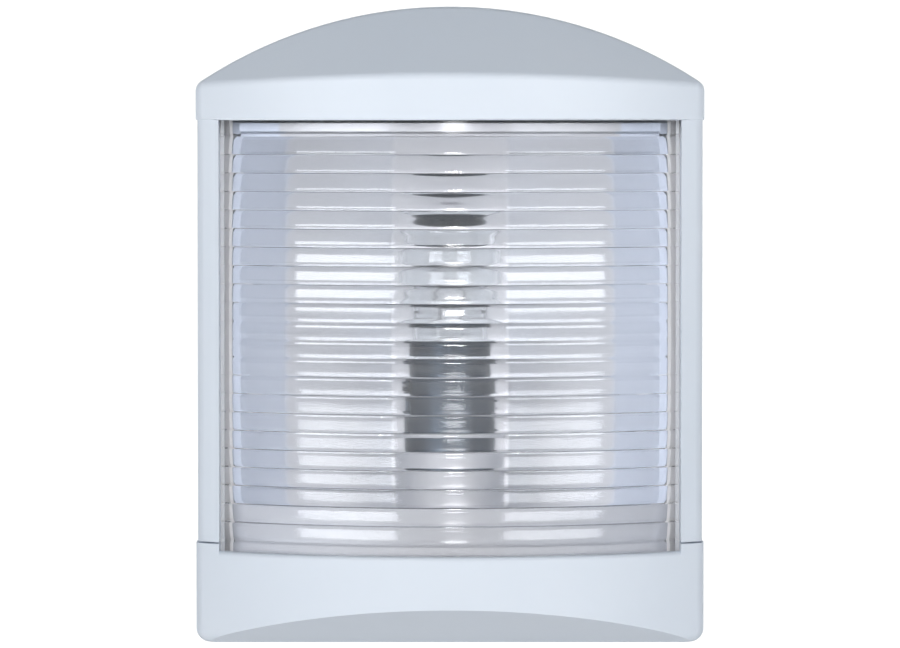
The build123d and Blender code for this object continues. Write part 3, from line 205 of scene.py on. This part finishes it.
def reflector_gloss():
    """Glossy white walls with flow marks and painted shade: greyed, darkest in the middle strip,
    with a cool shadow tint on the outer facets; satin floor, skirt and collar painted a darker grey
    shade.
    """
    made = Shader("reflector_gloss", IOR=1.6)
    apart = made.node("ShaderNodeSeparateXYZ")
    made.link(made.place(), apart.inputs["Vector"])
    aside = made.node("ShaderNodeMath", operation="ABSOLUTE")
    made.link(apart.outputs["X"], aside.inputs[0])
    across = made.span(aside.outputs["Value"], 0.0, SHADE_SPAN)
    # Painted shade across the walls: greyed overall, darkest in the middle strip where it stands for
    # the dark surroundings they reflect, with a cool shadow tint on the outer facets
    facet_painted_shades = made.ramp(
        across,
        [
            (0.26, (0.56, 0.56, 0.575, 1)), (0.28, (0.64, 0.645, 0.665, 1)),
            (0.75, (0.64, 0.645, 0.665, 1)), (0.77, (0.72, 0.78, 0.89, 1)),
        ],
    )
    marks = made.ramp(
        made.noise(30.0, stretch=(1, 1, 0.2)), [(0.25, grey(0.93)), (0.75, grey(1.0))]
    )
    # Painted shade: the floor, skirt and collar get a dark grey, darker towards the middle
    satin_painted_shade = made.ramp(across, [(0.10, (0.34, 0.34, 0.35, 1)), (0.80, (0.42, 0.43, 0.46, 1))])
    walls = made.span(apart.outputs["Z"], REFLECTOR_FLOOR - BLUR / 2, REFLECTOR_FLOOR + 1.5 * BLUR)
    beside = made.span(aside.outputs["Value"], COLLAR_HALF, COLLAR_HALF + BLUR)
    behind = made.span(apart.outputs["Y"], COLLAR_BACK, COLLAR_BACK + 5 * BLUR)
    above = made.span(apart.outputs["Z"], COLLAR_TOP, COLLAR_TOP + 5 * BLUR)
    off_collar = made.math("MAXIMUM", made.math("MAXIMUM", beside, behind), above)
    glossy = made.math("MULTIPLY", walls, off_collar)
    shaded = made.blend(satin_painted_shade, made.blend(facet_painted_shades, marks, kind="MULTIPLY"), glossy)
    made.link(shaded, made.surface.inputs["Base Color"])
    made.link(made.span(glossy, 0.0, 1.0, 0.02, 0.12), made.surface.inputs["Metallic"])
    made.link(made.span(glossy, 0.0, 1.0, 0.45, 0.24), made.surface.inputs["Roughness"])
    made.bump(made.noise(120.0, detail=1.5, stretch=(1, 1, 0.25)), 0.0003, 0.08)
    return made.material


def clear_solid(name, ior, tint, roughness, shade, clearness=1.0, shine=0.5):
    """Clear moulding that lets shadow rays through, so that lamps light what lies behind it."""
    made = Shader(
        name, IOR=ior, Transmission_Weight=clearness, Roughness=roughness, Base_Color=tint,
        Specular_IOR_Level=shine,
    )
    made.bump(made.noise(160.0, detail=1.0), 0.0001, 0.10)
    path = made.node("ShaderNodeLightPath")
    passing = made.node("ShaderNodeBsdfTransparent", Color=shade)
    blend = made.node("ShaderNodeMixShader")
    made.link(path.outputs["Is Shadow Ray"], blend.inputs["Fac"])
    made.link(made.surface.outputs["BSDF"], blend.inputs[1])
    made.link(passing.outputs["BSDF"], blend.inputs[2])
    made.link(blend.outputs["Shader"], made.tree.nodes["Material Output"].inputs["Surface"])
    return made.material


def metal(name, dark, light, rough_low, rough_high, grain=(1, 1, 1), scale=400.0):
    """Metal with brushed or mottled grain."""
    made = Shader(name, Metallic=1.0)
    streaks = made.noise(scale, detail=5.0, stretch=grain)
    made.colour(streaks, [(0.3, dark), (0.7, light)])
    made.roughness(made.noise(scale / 3, detail=3.0, stretch=grain), rough_low, rough_high)
    made.bump(streaks, 0.00002, 0.4)
    return made.material


def moulded(name, dark, light, rough_low, rough_high, scale=300.0, grain_depth=0.00003):
    """Rubber or plastic with a fine grain."""
    made = Shader(name, IOR=1.5)
    made.colour(made.noise(scale / 8), [(0.3, dark), (0.7, light)])
    made.roughness(made.noise(scale / 4), rough_low, rough_high)
    made.bump(made.noise(scale, detail=3.0), grain_depth, 0.5)
    return made.material


white_plastic = plastic_white()
reflector_white = reflector_gloss()
POLYCARBONATE = 1.585
GLASS = 1.50
lens_clear = clear_solid(
    "lens_clear", POLYCARBONATE, tint=(0.965, 0.968, 0.985, 1), roughness=0.08,
    shade=(0.90, 0.90, 0.92, 1), clearness=0.97, shine=0.28,
)
lens_frosted = clear_solid(
    "lens_frosted", POLYCARBONATE, tint=(1.0, 0.985, 0.975, 1), roughness=0.35,
    shade=(0.92, 0.92, 0.93, 1), clearness=0.10,
)
lamp_clear = clear_solid(
    "lamp_clear", GLASS, tint=(0.97, 0.98, 0.98, 1), roughness=0.0, shade=(0.93, 0.94, 0.94, 1)
)
stainless = metal("stainless", grey(0.55), grey(0.68), 0.22, 0.38, (1, 1, 6))
# Painted shade: these two metals get near-black colours that stand for the dark surroundings they
# reflect
zinc_painted_dark = metal("zinc_painted_dark", (0.018, 0.026, 0.036, 1), (0.045, 0.058, 0.075, 1), 0.32, 0.5)
nickel_painted_dark = metal("nickel_painted_dark", (0.012, 0.02, 0.03, 1), (0.035, 0.048, 0.065, 1), 0.30, 0.5)
brass = metal("brass", (0.62, 0.44, 0.18, 1), (0.75, 0.57, 0.26, 1), 0.22, 0.40)
solder = metal("solder", grey(0.45), grey(0.60), 0.30, 0.5, scale=900.0)
tungsten = metal("tungsten", grey(0.20), grey(0.32), 0.35, 0.5, scale=2000.0)
black_rubber = moulded("black_rubber", grey(0.018), grey(0.035), 0.60, 0.80)
seal_rubber = moulded("seal_rubber", grey(0.42, (1, 1.02, 1.05)), grey(0.52), 0.55, 0.75)
black_plastic = moulded("black_plastic", grey(0.020), grey(0.030), 0.38, 0.55)
black_glass = moulded("black_glass", grey(0.006), grey(0.012), 0.05, 0.12, grain_depth=0.000005)
laminate = moulded("laminate", (0.11, 0.045, 0.02, 1), (0.19, 0.09, 0.045, 1), 0.4, 0.6, 700.0)
red_pvc = moulded("red_pvc", (0.42, 0.015, 0.012, 1), (0.52, 0.03, 0.02, 1), 0.30, 0.45)
black_pvc = moulded("black_pvc", grey(0.012), grey(0.022), 0.30, 0.45)

finishes = {
    white_plastic: ["rear_housing", "bottom_cap"],
    reflector_white: ["reflector"],
    lens_clear: ["lens"],
    lamp_clear: ["lamp_glass", "lamp_stem"],
    stainless: [
        "reflector_screws", "bracket_screws", "terminal_screws", "terminal_block_screw",
        "left_cap_screw", "right_cap_screw", "left_contact_spring", "right_contact_spring",
    ],
    zinc_painted_dark: ["holder_bracket", "holder_shell"],
    nickel_painted_dark: ["lamp_cap", "lamp_pins", "lamp_crown"],
    brass: ["contact_tags", "contact_plungers", "terminal_cages", "thread_inserts"],
    solder: ["lamp_foot_contacts"],
    tungsten: ["filament", "filament_supports"],
    black_rubber: ["rear_gasket", "cable_grommet", "left_screw_washer", "right_screw_washer"],
    seal_rubber: ["lens_seal", "cap_seal"],
    black_plastic: ["terminal_block"],
    black_glass: ["lamp_foot"],
    laminate: ["holder_insulator"],
    red_pvc: ["lead_red"],
    black_pvc: ["lead_black"],
}
for material, names in finishes.items():
    for name in names:
        mesh = nodes[name].data
        mesh.materials.clear()
        mesh.materials.append(material)


# ------------------------------------------------------------------ lens
RIB_COUNT = 22
RIB_PITCH = 3.33 * MM
RIB_CENTRE = base + 55.1 * MM
CREST_RADIUS = 68.0 * MM  # at the crests of the ribs
LAND_RADIUS = 67.5 * MM  # of the plain bands above and below the ribs
INNER_RADIUS = 65.8 * MM
LENS_HALF = 41.4 * MM
FLANGE = 2.0 * MM
TONGUE_REACH = lens_high.x
TONGUE_BACK = -43.0 * MM
TONGUE_FRONT = -44.5 * MM
lens_axis_y = lens_low.y + CREST_RADIUS
ARC_STEPS = 120
FACET_STEPS = 14
TILT_PER_METRE = math.radians(0.55) / MM
TILT_LIMIT = math.radians(15.5)
FACET_BOW = math.radians(26.0)  # how much steeper a facet is at its edges than in its middle
RISER = 0.16 * MM  # height of the step between two ribs
FLANGE_POINTS = 5
FROST_FROM = LENS_HALF - 3.0 * MM  # the flanges beyond this look frosted
WELD = 1e-7


def facet_tilt(height):
    """Tilt of a rib's facet at a distance from the lens's optical centre."""
    return min(abs(height) * TILT_PER_METRE, TILT_LIMIT)


def facet_falls(tilt, run):
    """How far a rib's face lies below its crest, from its thick side to its thin one."""
    falls = [0.0]
    for step in range(FACET_STEPS):
        across = 2 * (step + 0.5) / FACET_STEPS - 1
        angle = tilt + FACET_BOW * across**3
        falls.append(falls[-1] + math.tan(angle) * run / FACET_STEPS)
    crest = min(falls)
    return [fall - crest for fall in falls]


def rib_profile():
    """(height, outer radius) up the lens: a plain land, the ribs, a plain land."""
    first = RIB_CENTRE - RIB_COUNT * RIB_PITCH / 2
    rows = [(lens_low.z, LAND_RADIUS), (first - 2 * RISER, LAND_RADIUS)]
    for rib in range(RIB_COUNT):
        low = first + rib * RIB_PITCH
        middle = low + RIB_PITCH / 2 - RIB_CENTRE
        run = RIB_PITCH - RISER
        start = low if middle > 0 else low + RISER
        falls = facet_falls(facet_tilt(middle), run)
        if middle < 0:
            falls.reverse()
        for step, fall in enumerate(falls):
            rows.append((start + run * step / FACET_STEPS, CREST_RADIUS - fall))
    rows.append((first + RIB_COUNT * RIB_PITCH + 2 * RISER, LAND_RADIUS))
    rows.append((lens_high.z, LAND_RADIUS))
    return rows


def arc_point(radius, half_x, share):
    """Point on a plan arc about the lens's axis, from +half_x to -half_x."""
    limit = math.asin(half_x / radius)
    angle = limit * (1 - 2 * share)
    return radius * math.sin(angle), lens_axis_y - radius * math.cos(angle)


def lens_ribbon(outer_radius):
    """Outer and inner plan lines of the lens, paired point by point."""
    back = lens_high.y
    inside = LENS_HALF - FLANGE
    outer = [
        (LENS_HALF, back), (LENS_HALF, TONGUE_BACK), (TONGUE_REACH, TONGUE_BACK),
        (TONGUE_REACH, TONGUE_FRONT), (LENS_HALF, TONGUE_FRONT),
    ]
    inner = [(inside, y) for y in (back, TONGUE_BACK, TONGUE_BACK, TONGUE_FRONT, TONGUE_FRONT)]
    for step in range(ARC_STEPS + 1):
        share = step / ARC_STEPS
        outer.append(arc_point(outer_radius, LENS_HALF, share))
        inner.append(arc_point(INNER_RADIUS, inside, share))
    outer += [(-x, y) for x, y in reversed(outer[:FLANGE_POINTS])]
    inner += [(-x, y) for x, y in reversed(inner[:FLANGE_POINTS])]
    return outer, inner


def build_lens():
    mesh = bmesh.new()
    levels = []
    for z, radius in rib_profile():
        levels.append(
            [[mesh.verts.new((x, y, z)) for x, y in line] for line in lens_ribbon(radius)]
        )
    for (outer_a, inner_a), (outer_b, inner_b) in zip(levels, levels[1:]):
        last = len(outer_a) - 1
        for i in range(last):
            outside = mesh.faces.new((outer_a[i + 1], outer_a[i], outer_b[i], outer_b[i + 1]))
            inside = mesh.faces.new((inner_a[i], inner_a[i + 1], inner_b[i + 1], inner_b[i]))
            if abs(inner_a[i].co.x) > FROST_FROM and abs(inner_a[i + 1].co.x) > FROST_FROM:
                outside.material_index = 1
                inside.material_index = 1
        mesh.faces.new((outer_a[0], inner_a[0], inner_b[0], outer_b[0]))
        mesh.faces.new((inner_a[last], outer_a[last], outer_b[last], inner_b[last]))
    for (outer, inner), flip in ((levels[0], 1), (levels[-1], -1)):
        for i in range(len(outer) - 1):
            mesh.faces.new((outer[i], outer[i + 1], inner[i + 1], inner[i])[::flip])
    bmesh.ops.remove_doubles(mesh, verts=mesh.verts, dist=WELD)
    bmesh.ops.recalc_face_normals(mesh, faces=mesh.faces)
    return mesh


def add_piece(name, mesh, material, body, replaced=(), keep_sharp=True):
    """Makes an object of a bmesh and lets it ride on a body of the frame."""
    piece = make_object(name, mesh, material)
    smooth(piece.data, keep_sharp)
    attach(piece, body)
    if replaced:
        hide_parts(*replaced)
    return piece


ribbed_lens = add_piece(
    "ribbed_lens", build_lens(), lens_clear, "cover", ["lens"]
)
ribbed_lens.data.materials.append(lens_frosted)


# ------------------------------------------------------------------ cap screws and filament
THREAD_PITCH = 0.7 * MM
THREAD_DEPTH = 0.40 * MM
SHANK_RADIUS = 2.0 * MM
HEAD_HEIGHT = 2.8 * MM
HEAD_ROUND = 0.6 * MM
SLOT_WIDTH = 1.0 * MM
SLOT_DEPTH = 1.2 * MM
LATHE_STEPS = 72
HEAD_STEPS = 6
ROWS_PER_TURN = 8


def lathe(mesh, rows, centre):
    """Closed turned solid of (height, radius by angle) rows about an upright line."""
    rings = []
    for height, radius_at in rows:
        ring = []
        for step in range(LATHE_STEPS):
            angle = 2 * math.pi * step / LATHE_STEPS
            radius = radius_at(angle)
            x = centre[0] + radius * math.cos(angle)
            y = centre[1] + radius * math.sin(angle)
            ring.append(mesh.verts.new((x, y, height)))
        rings.append(ring)
    for low, high in zip(rings, rings[1:]):
        for step in range(LATHE_STEPS):
            after = (step + 1) % LATHE_STEPS
            mesh.faces.new((low[step], low[after], high[after], high[step]))
    mesh.faces.new(rings[0][::-1])
    mesh.faces.new(rings[-1])


def thread_radius(height, start, end):
    """Radius by angle of a triangular thread that runs out at both ends of the shank."""
    run_out = min(1.0, (height - start) / THREAD_PITCH, (end - height) / THREAD_PITCH)

    def at(angle):
        turn = (height / THREAD_PITCH - angle / (2 * math.pi)) % 1.0
        return SHANK_RADIUS - THREAD_DEPTH * (1 - run_out * (1 - abs(2 * turn - 1)))

    return at


def build_screw(node_name):
    """Slotted cap screw with a thread, in place of the node's plain one."""
    low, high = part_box(node_name)
    centre = ((low.x + high.x) / 2, (low.y + high.y) / 2)
    head_radius = (high.x - low.x) / 2
    seat = low.z + HEAD_HEIGHT
    rows = []
    for step in range(HEAD_STEPS + 1):
        turn = math.radians(90) * step / HEAD_STEPS
        radius = head_radius - HEAD_ROUND * (1 - math.sin(turn))
        height = low.z + HEAD_ROUND * (1 - math.cos(turn))
        rows.append((height, lambda angle, radius=radius: radius))
    rows.append((seat, lambda angle: head_radius))
    rows.append((seat, lambda angle: SHANK_RADIUS))
    count = int((high.z - seat) / (THREAD_PITCH / ROWS_PER_TURN))
    for step in range(1, count + 1):
        height = seat + (high.z - seat) * step / count
        rows.append((height, thread_radius(height, seat + 2 * THREAD_PITCH, high.z)))
    mesh = bmesh.new()
    lathe(mesh, rows, centre)
    screw = add_piece(
        node_name.replace("cap_screw", "threaded_screw"), mesh, stainless,
        node_name.replace("cap_screw", "screw"), [node_name],
    )
    cutter_mesh = bmesh.new()
    bmesh.ops.create_cube(cutter_mesh, size=1.0)
    reach = Vector((2.5 * head_radius, SLOT_WIDTH, 2 * SLOT_DEPTH))  # half of it in the head
    for vertex in cutter_mesh.verts:
        vertex.co = Vector((centre[0], centre[1], low.z)) + vertex.co * reach
    cutter = make_object("slot_cutter", cutter_mesh)
    slot = screw.modifiers.new("slot", "BOOLEAN")
    slot.object = cutter
    slot.operation = "DIFFERENCE"
    slot.solver = "EXACT"
    bpy.context.view_layer.update()
    evaluated = screw.evaluated_get(bpy.context.evaluated_depsgraph_get())
    screw.data = bpy.data.meshes.new_from_object(evaluated)
    screw.modifiers.clear()
    bpy.data.meshes.remove(cutter.data)  # takes the cutter with it
    smooth(screw.data)


for screw_node in ("left_cap_screw", "right_cap_screw"):
    build_screw(screw_node)

COIL_TURNS = 16
COIL_RADIUS = 0.34 * MM
COIL_WIRE = 0.07 * MM
COIL_RISE = 0.35 * MM
COIL_STEPS = 20
OFF_AXIS = Vector((0.13, 0.21, 0.97))  # never along the wire


def tube(mesh, points, radius, sides=8):
    """Round wire along a line of points."""
    rings = []
    for index, point in enumerate(points):
        ahead = points[min(index + 1, len(points) - 1)]
        behind = points[max(index - 1, 0)]
        along = (ahead - behind).normalized()
        across = along.cross(OFF_AXIS).normalized()
        other = along.cross(across)
        ring = []
        for side in range(sides):
            angle = 2 * math.pi * side / sides
            outward = math.cos(angle) * across + math.sin(angle) * other
            ring.append(mesh.verts.new(point + radius * outward))
        rings.append(ring)
    for ring_a, ring_b in zip(rings, rings[1:]):
        for side in range(sides):
            after = (side + 1) % sides
            mesh.faces.new((ring_a[side], ring_a[after], ring_b[after], ring_b[side]))
    mesh.faces.new(rings[0][::-1])
    mesh.faces.new(rings[-1])
    bmesh.ops.recalc_face_normals(mesh, faces=mesh.faces)


filament_middle = (filament_low + filament_high) / 2
filament_half = (filament_high.x - filament_low.x) / 2
coil_points = []
for step in range(COIL_TURNS * COIL_STEPS + 1):
    along = 2 * step / (COIL_TURNS * COIL_STEPS) - 1
    turn = math.pi * COIL_TURNS * (along + 1)
    arch = COIL_RISE * (1 - along**2) - COIL_RISE / 2
    offset = (
        filament_half * along, COIL_RADIUS * math.cos(turn), COIL_RADIUS * math.sin(turn) + arch
    )
    coil_points.append(filament_middle + Vector(offset))
coil_mesh = bmesh.new()
tube(coil_mesh, coil_points, COIL_WIRE)
add_piece(
    "filament_coil", coil_mesh, tungsten, "lamp", ["filament"], keep_sharp=False
)

for node in nodes.values():
    smooth(node.data)


# ------------------------------------------------------------------ ends of the skirt
SKIRT_RADIUS = 65.0 * MM
SKIRT_WALL = 1.5 * MM
SKIRT_HALF = 37.5 * MM  # just inside the ends of the reflector's own skirt
SKIRT_REACH = 39.0 * MM  # clear of the inner faces of the lens's flanges


def build_skirt_end(side):
    """Stretch of the skirt's bowed wall that closes the slit beside a flange of the lens."""
    mesh = bmesh.new()
    corners = [
        (SKIRT_HALF, SKIRT_RADIUS), (SKIRT_REACH, SKIRT_RADIUS),
        (SKIRT_REACH, SKIRT_RADIUS - SKIRT_WALL), (SKIRT_HALF, SKIRT_RADIUS - SKIRT_WALL),
    ]
    outline = [(side * x, lens_axis_y - math.sqrt(radius**2 - x**2)) for x, radius in corners]
    low = [mesh.verts.new((x, y, reflector_low.z)) for x, y in outline]
    high = [mesh.verts.new((x, y, REFLECTOR_FLOOR)) for x, y in outline]
    mesh.faces.new(low)
    mesh.faces.new(high)
    for i in range(len(corners)):
        after = (i + 1) % len(corners)
        mesh.faces.new((low[i], low[after], high[after], high[i]))
    bmesh.ops.recalc_face_normals(mesh, faces=mesh.faces)
    return mesh


for side_name, side in (("left", -1), ("right", 1)):
    add_piece(
        side_name + "_skirt_end", build_skirt_end(side), reflector_white, "housing",
    )


# ------------------------------------------------------------------ floor, light and camera
FLOOR_HALF = 2.5
FLOOR_DROP = 95.0 * MM  # the light hangs clear of the floor, so its cover can slide down
floor_height = base - FLOOR_DROP
SWEEP_START = 0.6
SWEEP_RADIUS = 0.9
SWEEP_STEPS = 24
WALL_HEIGHT = 2.2
GLOW_STRETCH = (0.8, 1, 0)  # the floor's glow and its painted shadow spread in flat ovals
GLOW_SHIFT = (0, 0.03, 0)  # about a point below the middle of the light


def build_sweep():
    """Floor that curves up into a wall behind the light."""
    mesh = bmesh.new()
    outline = [(-FLOOR_HALF * 2, floor_height), (SWEEP_START, floor_height)]
    for step in range(1, SWEEP_STEPS + 1):
        angle = math.radians(90) * step / SWEEP_STEPS
        y = SWEEP_START + SWEEP_RADIUS * math.sin(angle)
        outline.append((y, floor_height + SWEEP_RADIUS * (1 - math.cos(angle))))
    outline.append((SWEEP_START + SWEEP_RADIUS, floor_height + WALL_HEIGHT))
    rows = [
        (mesh.verts.new((-FLOOR_HALF, y, z)), mesh.verts.new((FLOOR_HALF, y, z)))
        for y, z in outline
    ]
    for (left_a, right_a), (left_b, right_b) in zip(rows, rows[1:]):
        mesh.faces.new((left_a, right_a, right_b, left_b))
    return mesh


floor_shader = Shader("floor_white", Roughness=0.9, Emission_Strength=1.0)
reach = floor_shader.node("ShaderNodeVectorMath", operation="LENGTH")
floor_shader.link(floor_shader.place(GLOW_STRETCH, GLOW_SHIFT), reach.inputs[0])
# The floor glows pale, with a painted shadow that darkens it towards the point below the light, but
# throws little light up at the underside
glow = floor_shader.ramp(
    reach.outputs["Value"],
    [(0.02, grey(0.56)), (0.20, grey(0.64)), (0.60, grey(0.78)), (0.95, grey(0.82))],
)
cast = floor_shader.ramp(
    reach.outputs["Value"],
    [(0.15, grey(0.10)), (0.45, grey(0.20)), (1.0, grey(0.60))],
)
floor_path = floor_shader.node("ShaderNodeLightPath")
floor_glow = floor_shader.blend(cast, glow, floor_path.outputs["Is Camera Ray"])
floor_shader.link(floor_glow, floor_shader.surface.inputs["Emission Color"])
floor_shader.colour(floor_shader.noise(3.0), [(0.3, grey(0.84)), (0.7, grey(0.88))])
floor = make_object("studio_floor", build_sweep(), floor_shader.material)
smooth(floor.data, keep_sharp=False)


def area_light(name, place, target, size, power, colour=(1, 1, 1)):
    data = bpy.data.lights.new(name, "AREA")
    data.shape = "RECTANGLE"
    data.size, data.size_y = size
    data.energy = power
    data.color = colour
    stand(name, data, place, target)


SUBJECT = (0, -0.03, 0)
BOX_SIZE = (0.80, 0.30)
BOX_COLOUR = (0.96, 0.985, 1.0)
LEFT_POWER = 6.2
RIGHT_POWER = 5.4
FRONT_POWER = 1.2
area_light("left_box", (-0.77, -1.18, 0.24), SUBJECT, BOX_SIZE, LEFT_POWER, BOX_COLOUR)
area_light("right_box", (0.77, -1.18, 0.24), SUBJECT, BOX_SIZE, RIGHT_POWER, BOX_COLOUR)
area_light("front_spot", (0.03, -1.30, 0.10), SUBJECT, (0.12, 0.08), FRONT_POWER)

# Narrow lamps for the two patches of light that the lens gathers low on the reflector
POOL_POWER = 20.0
POOL_CONE = math.radians(1.1)
POOL_BLEND = 0.7
POOL_SOURCE = 0.01
POOL_LAMP = Vector((0.45, -1.2, 0.24))
POOL_SPOT = Vector((-21 * MM, -16 * MM, base + 31 * MM))
for side_name, mirror in (("left", Vector((1, 1, 1))), ("right", Vector((-1, 1, 1)))):
    pool_data = bpy.data.lights.new(side_name + "_pool", "SPOT")
    pool_data.energy = POOL_POWER
    pool_data.spot_size = POOL_CONE
    pool_data.spot_blend = POOL_BLEND
    pool_data.shadow_soft_size = POOL_SOURCE
    stand(side_name + "_pool", pool_data, POOL_LAMP * mirror, POOL_SPOT * mirror)

# Dim blue surroundings that the camera sees as plain white
AROUND_COLOUR = (0.72, 0.85, 1.0, 1)
AROUND_STRENGTH = 0.12
world = bpy.data.worlds.new("studio")
world.use_nodes = True
tree = world.node_tree
around = tree.nodes["Background"]
around.inputs["Color"].default_value = AROUND_COLOUR
around.inputs["Strength"].default_value = AROUND_STRENGTH
seen = tree.nodes.new("ShaderNodeBackground")
seen.inputs["Color"].default_value = (1.0, 1.0, 1.0, 1)
seen.inputs["Strength"].default_value = 1.0
world_path = tree.nodes.new("ShaderNodeLightPath")
world_mix = tree.nodes.new("ShaderNodeMixShader")
tree.links.new(world_path.outputs["Is Camera Ray"], world_mix.inputs["Fac"])
tree.links.new(around.outputs["Background"], world_mix.inputs[1])
tree.links.new(seen.outputs["Background"], world_mix.inputs[2])
tree.links.new(world_mix.outputs["Shader"], tree.nodes["World Output"].inputs["Surface"])
bpy.context.scene.world = world

CAMERA_DISTANCE = 1.0
CAMERA_HEIGHT = 37.5 * MM
AIM_HEIGHT = -1.75 * MM
FOCAL = 210.5  # this and the sensor in millimetres, as Blender has them
SENSOR_WIDTH = 36.0
NEAREST = 0.05
FARTHEST = 20.0
camera_data = bpy.data.cameras.new("camera")
camera_data.lens = FOCAL
camera_data.sensor_width = SENSOR_WIDTH
camera_data.clip_start = NEAREST
camera_data.clip_end = FARTHEST
camera_place = (0, -CAMERA_DISTANCE, CAMERA_HEIGHT)
bpy.context.scene.camera = stand("camera", camera_data, camera_place, (0, 0, AIM_HEIGHT))
bpy.context.scene.view_settings.view_transform = "Standard"
cycles = bpy.context.scene.cycles
cycles.max_bounces = 16
cycles.transmission_bounces = 12
cycles.transparent_max_bounces = 16
cycles.diffuse_bounces = 5
cycles.glossy_bounces = 6
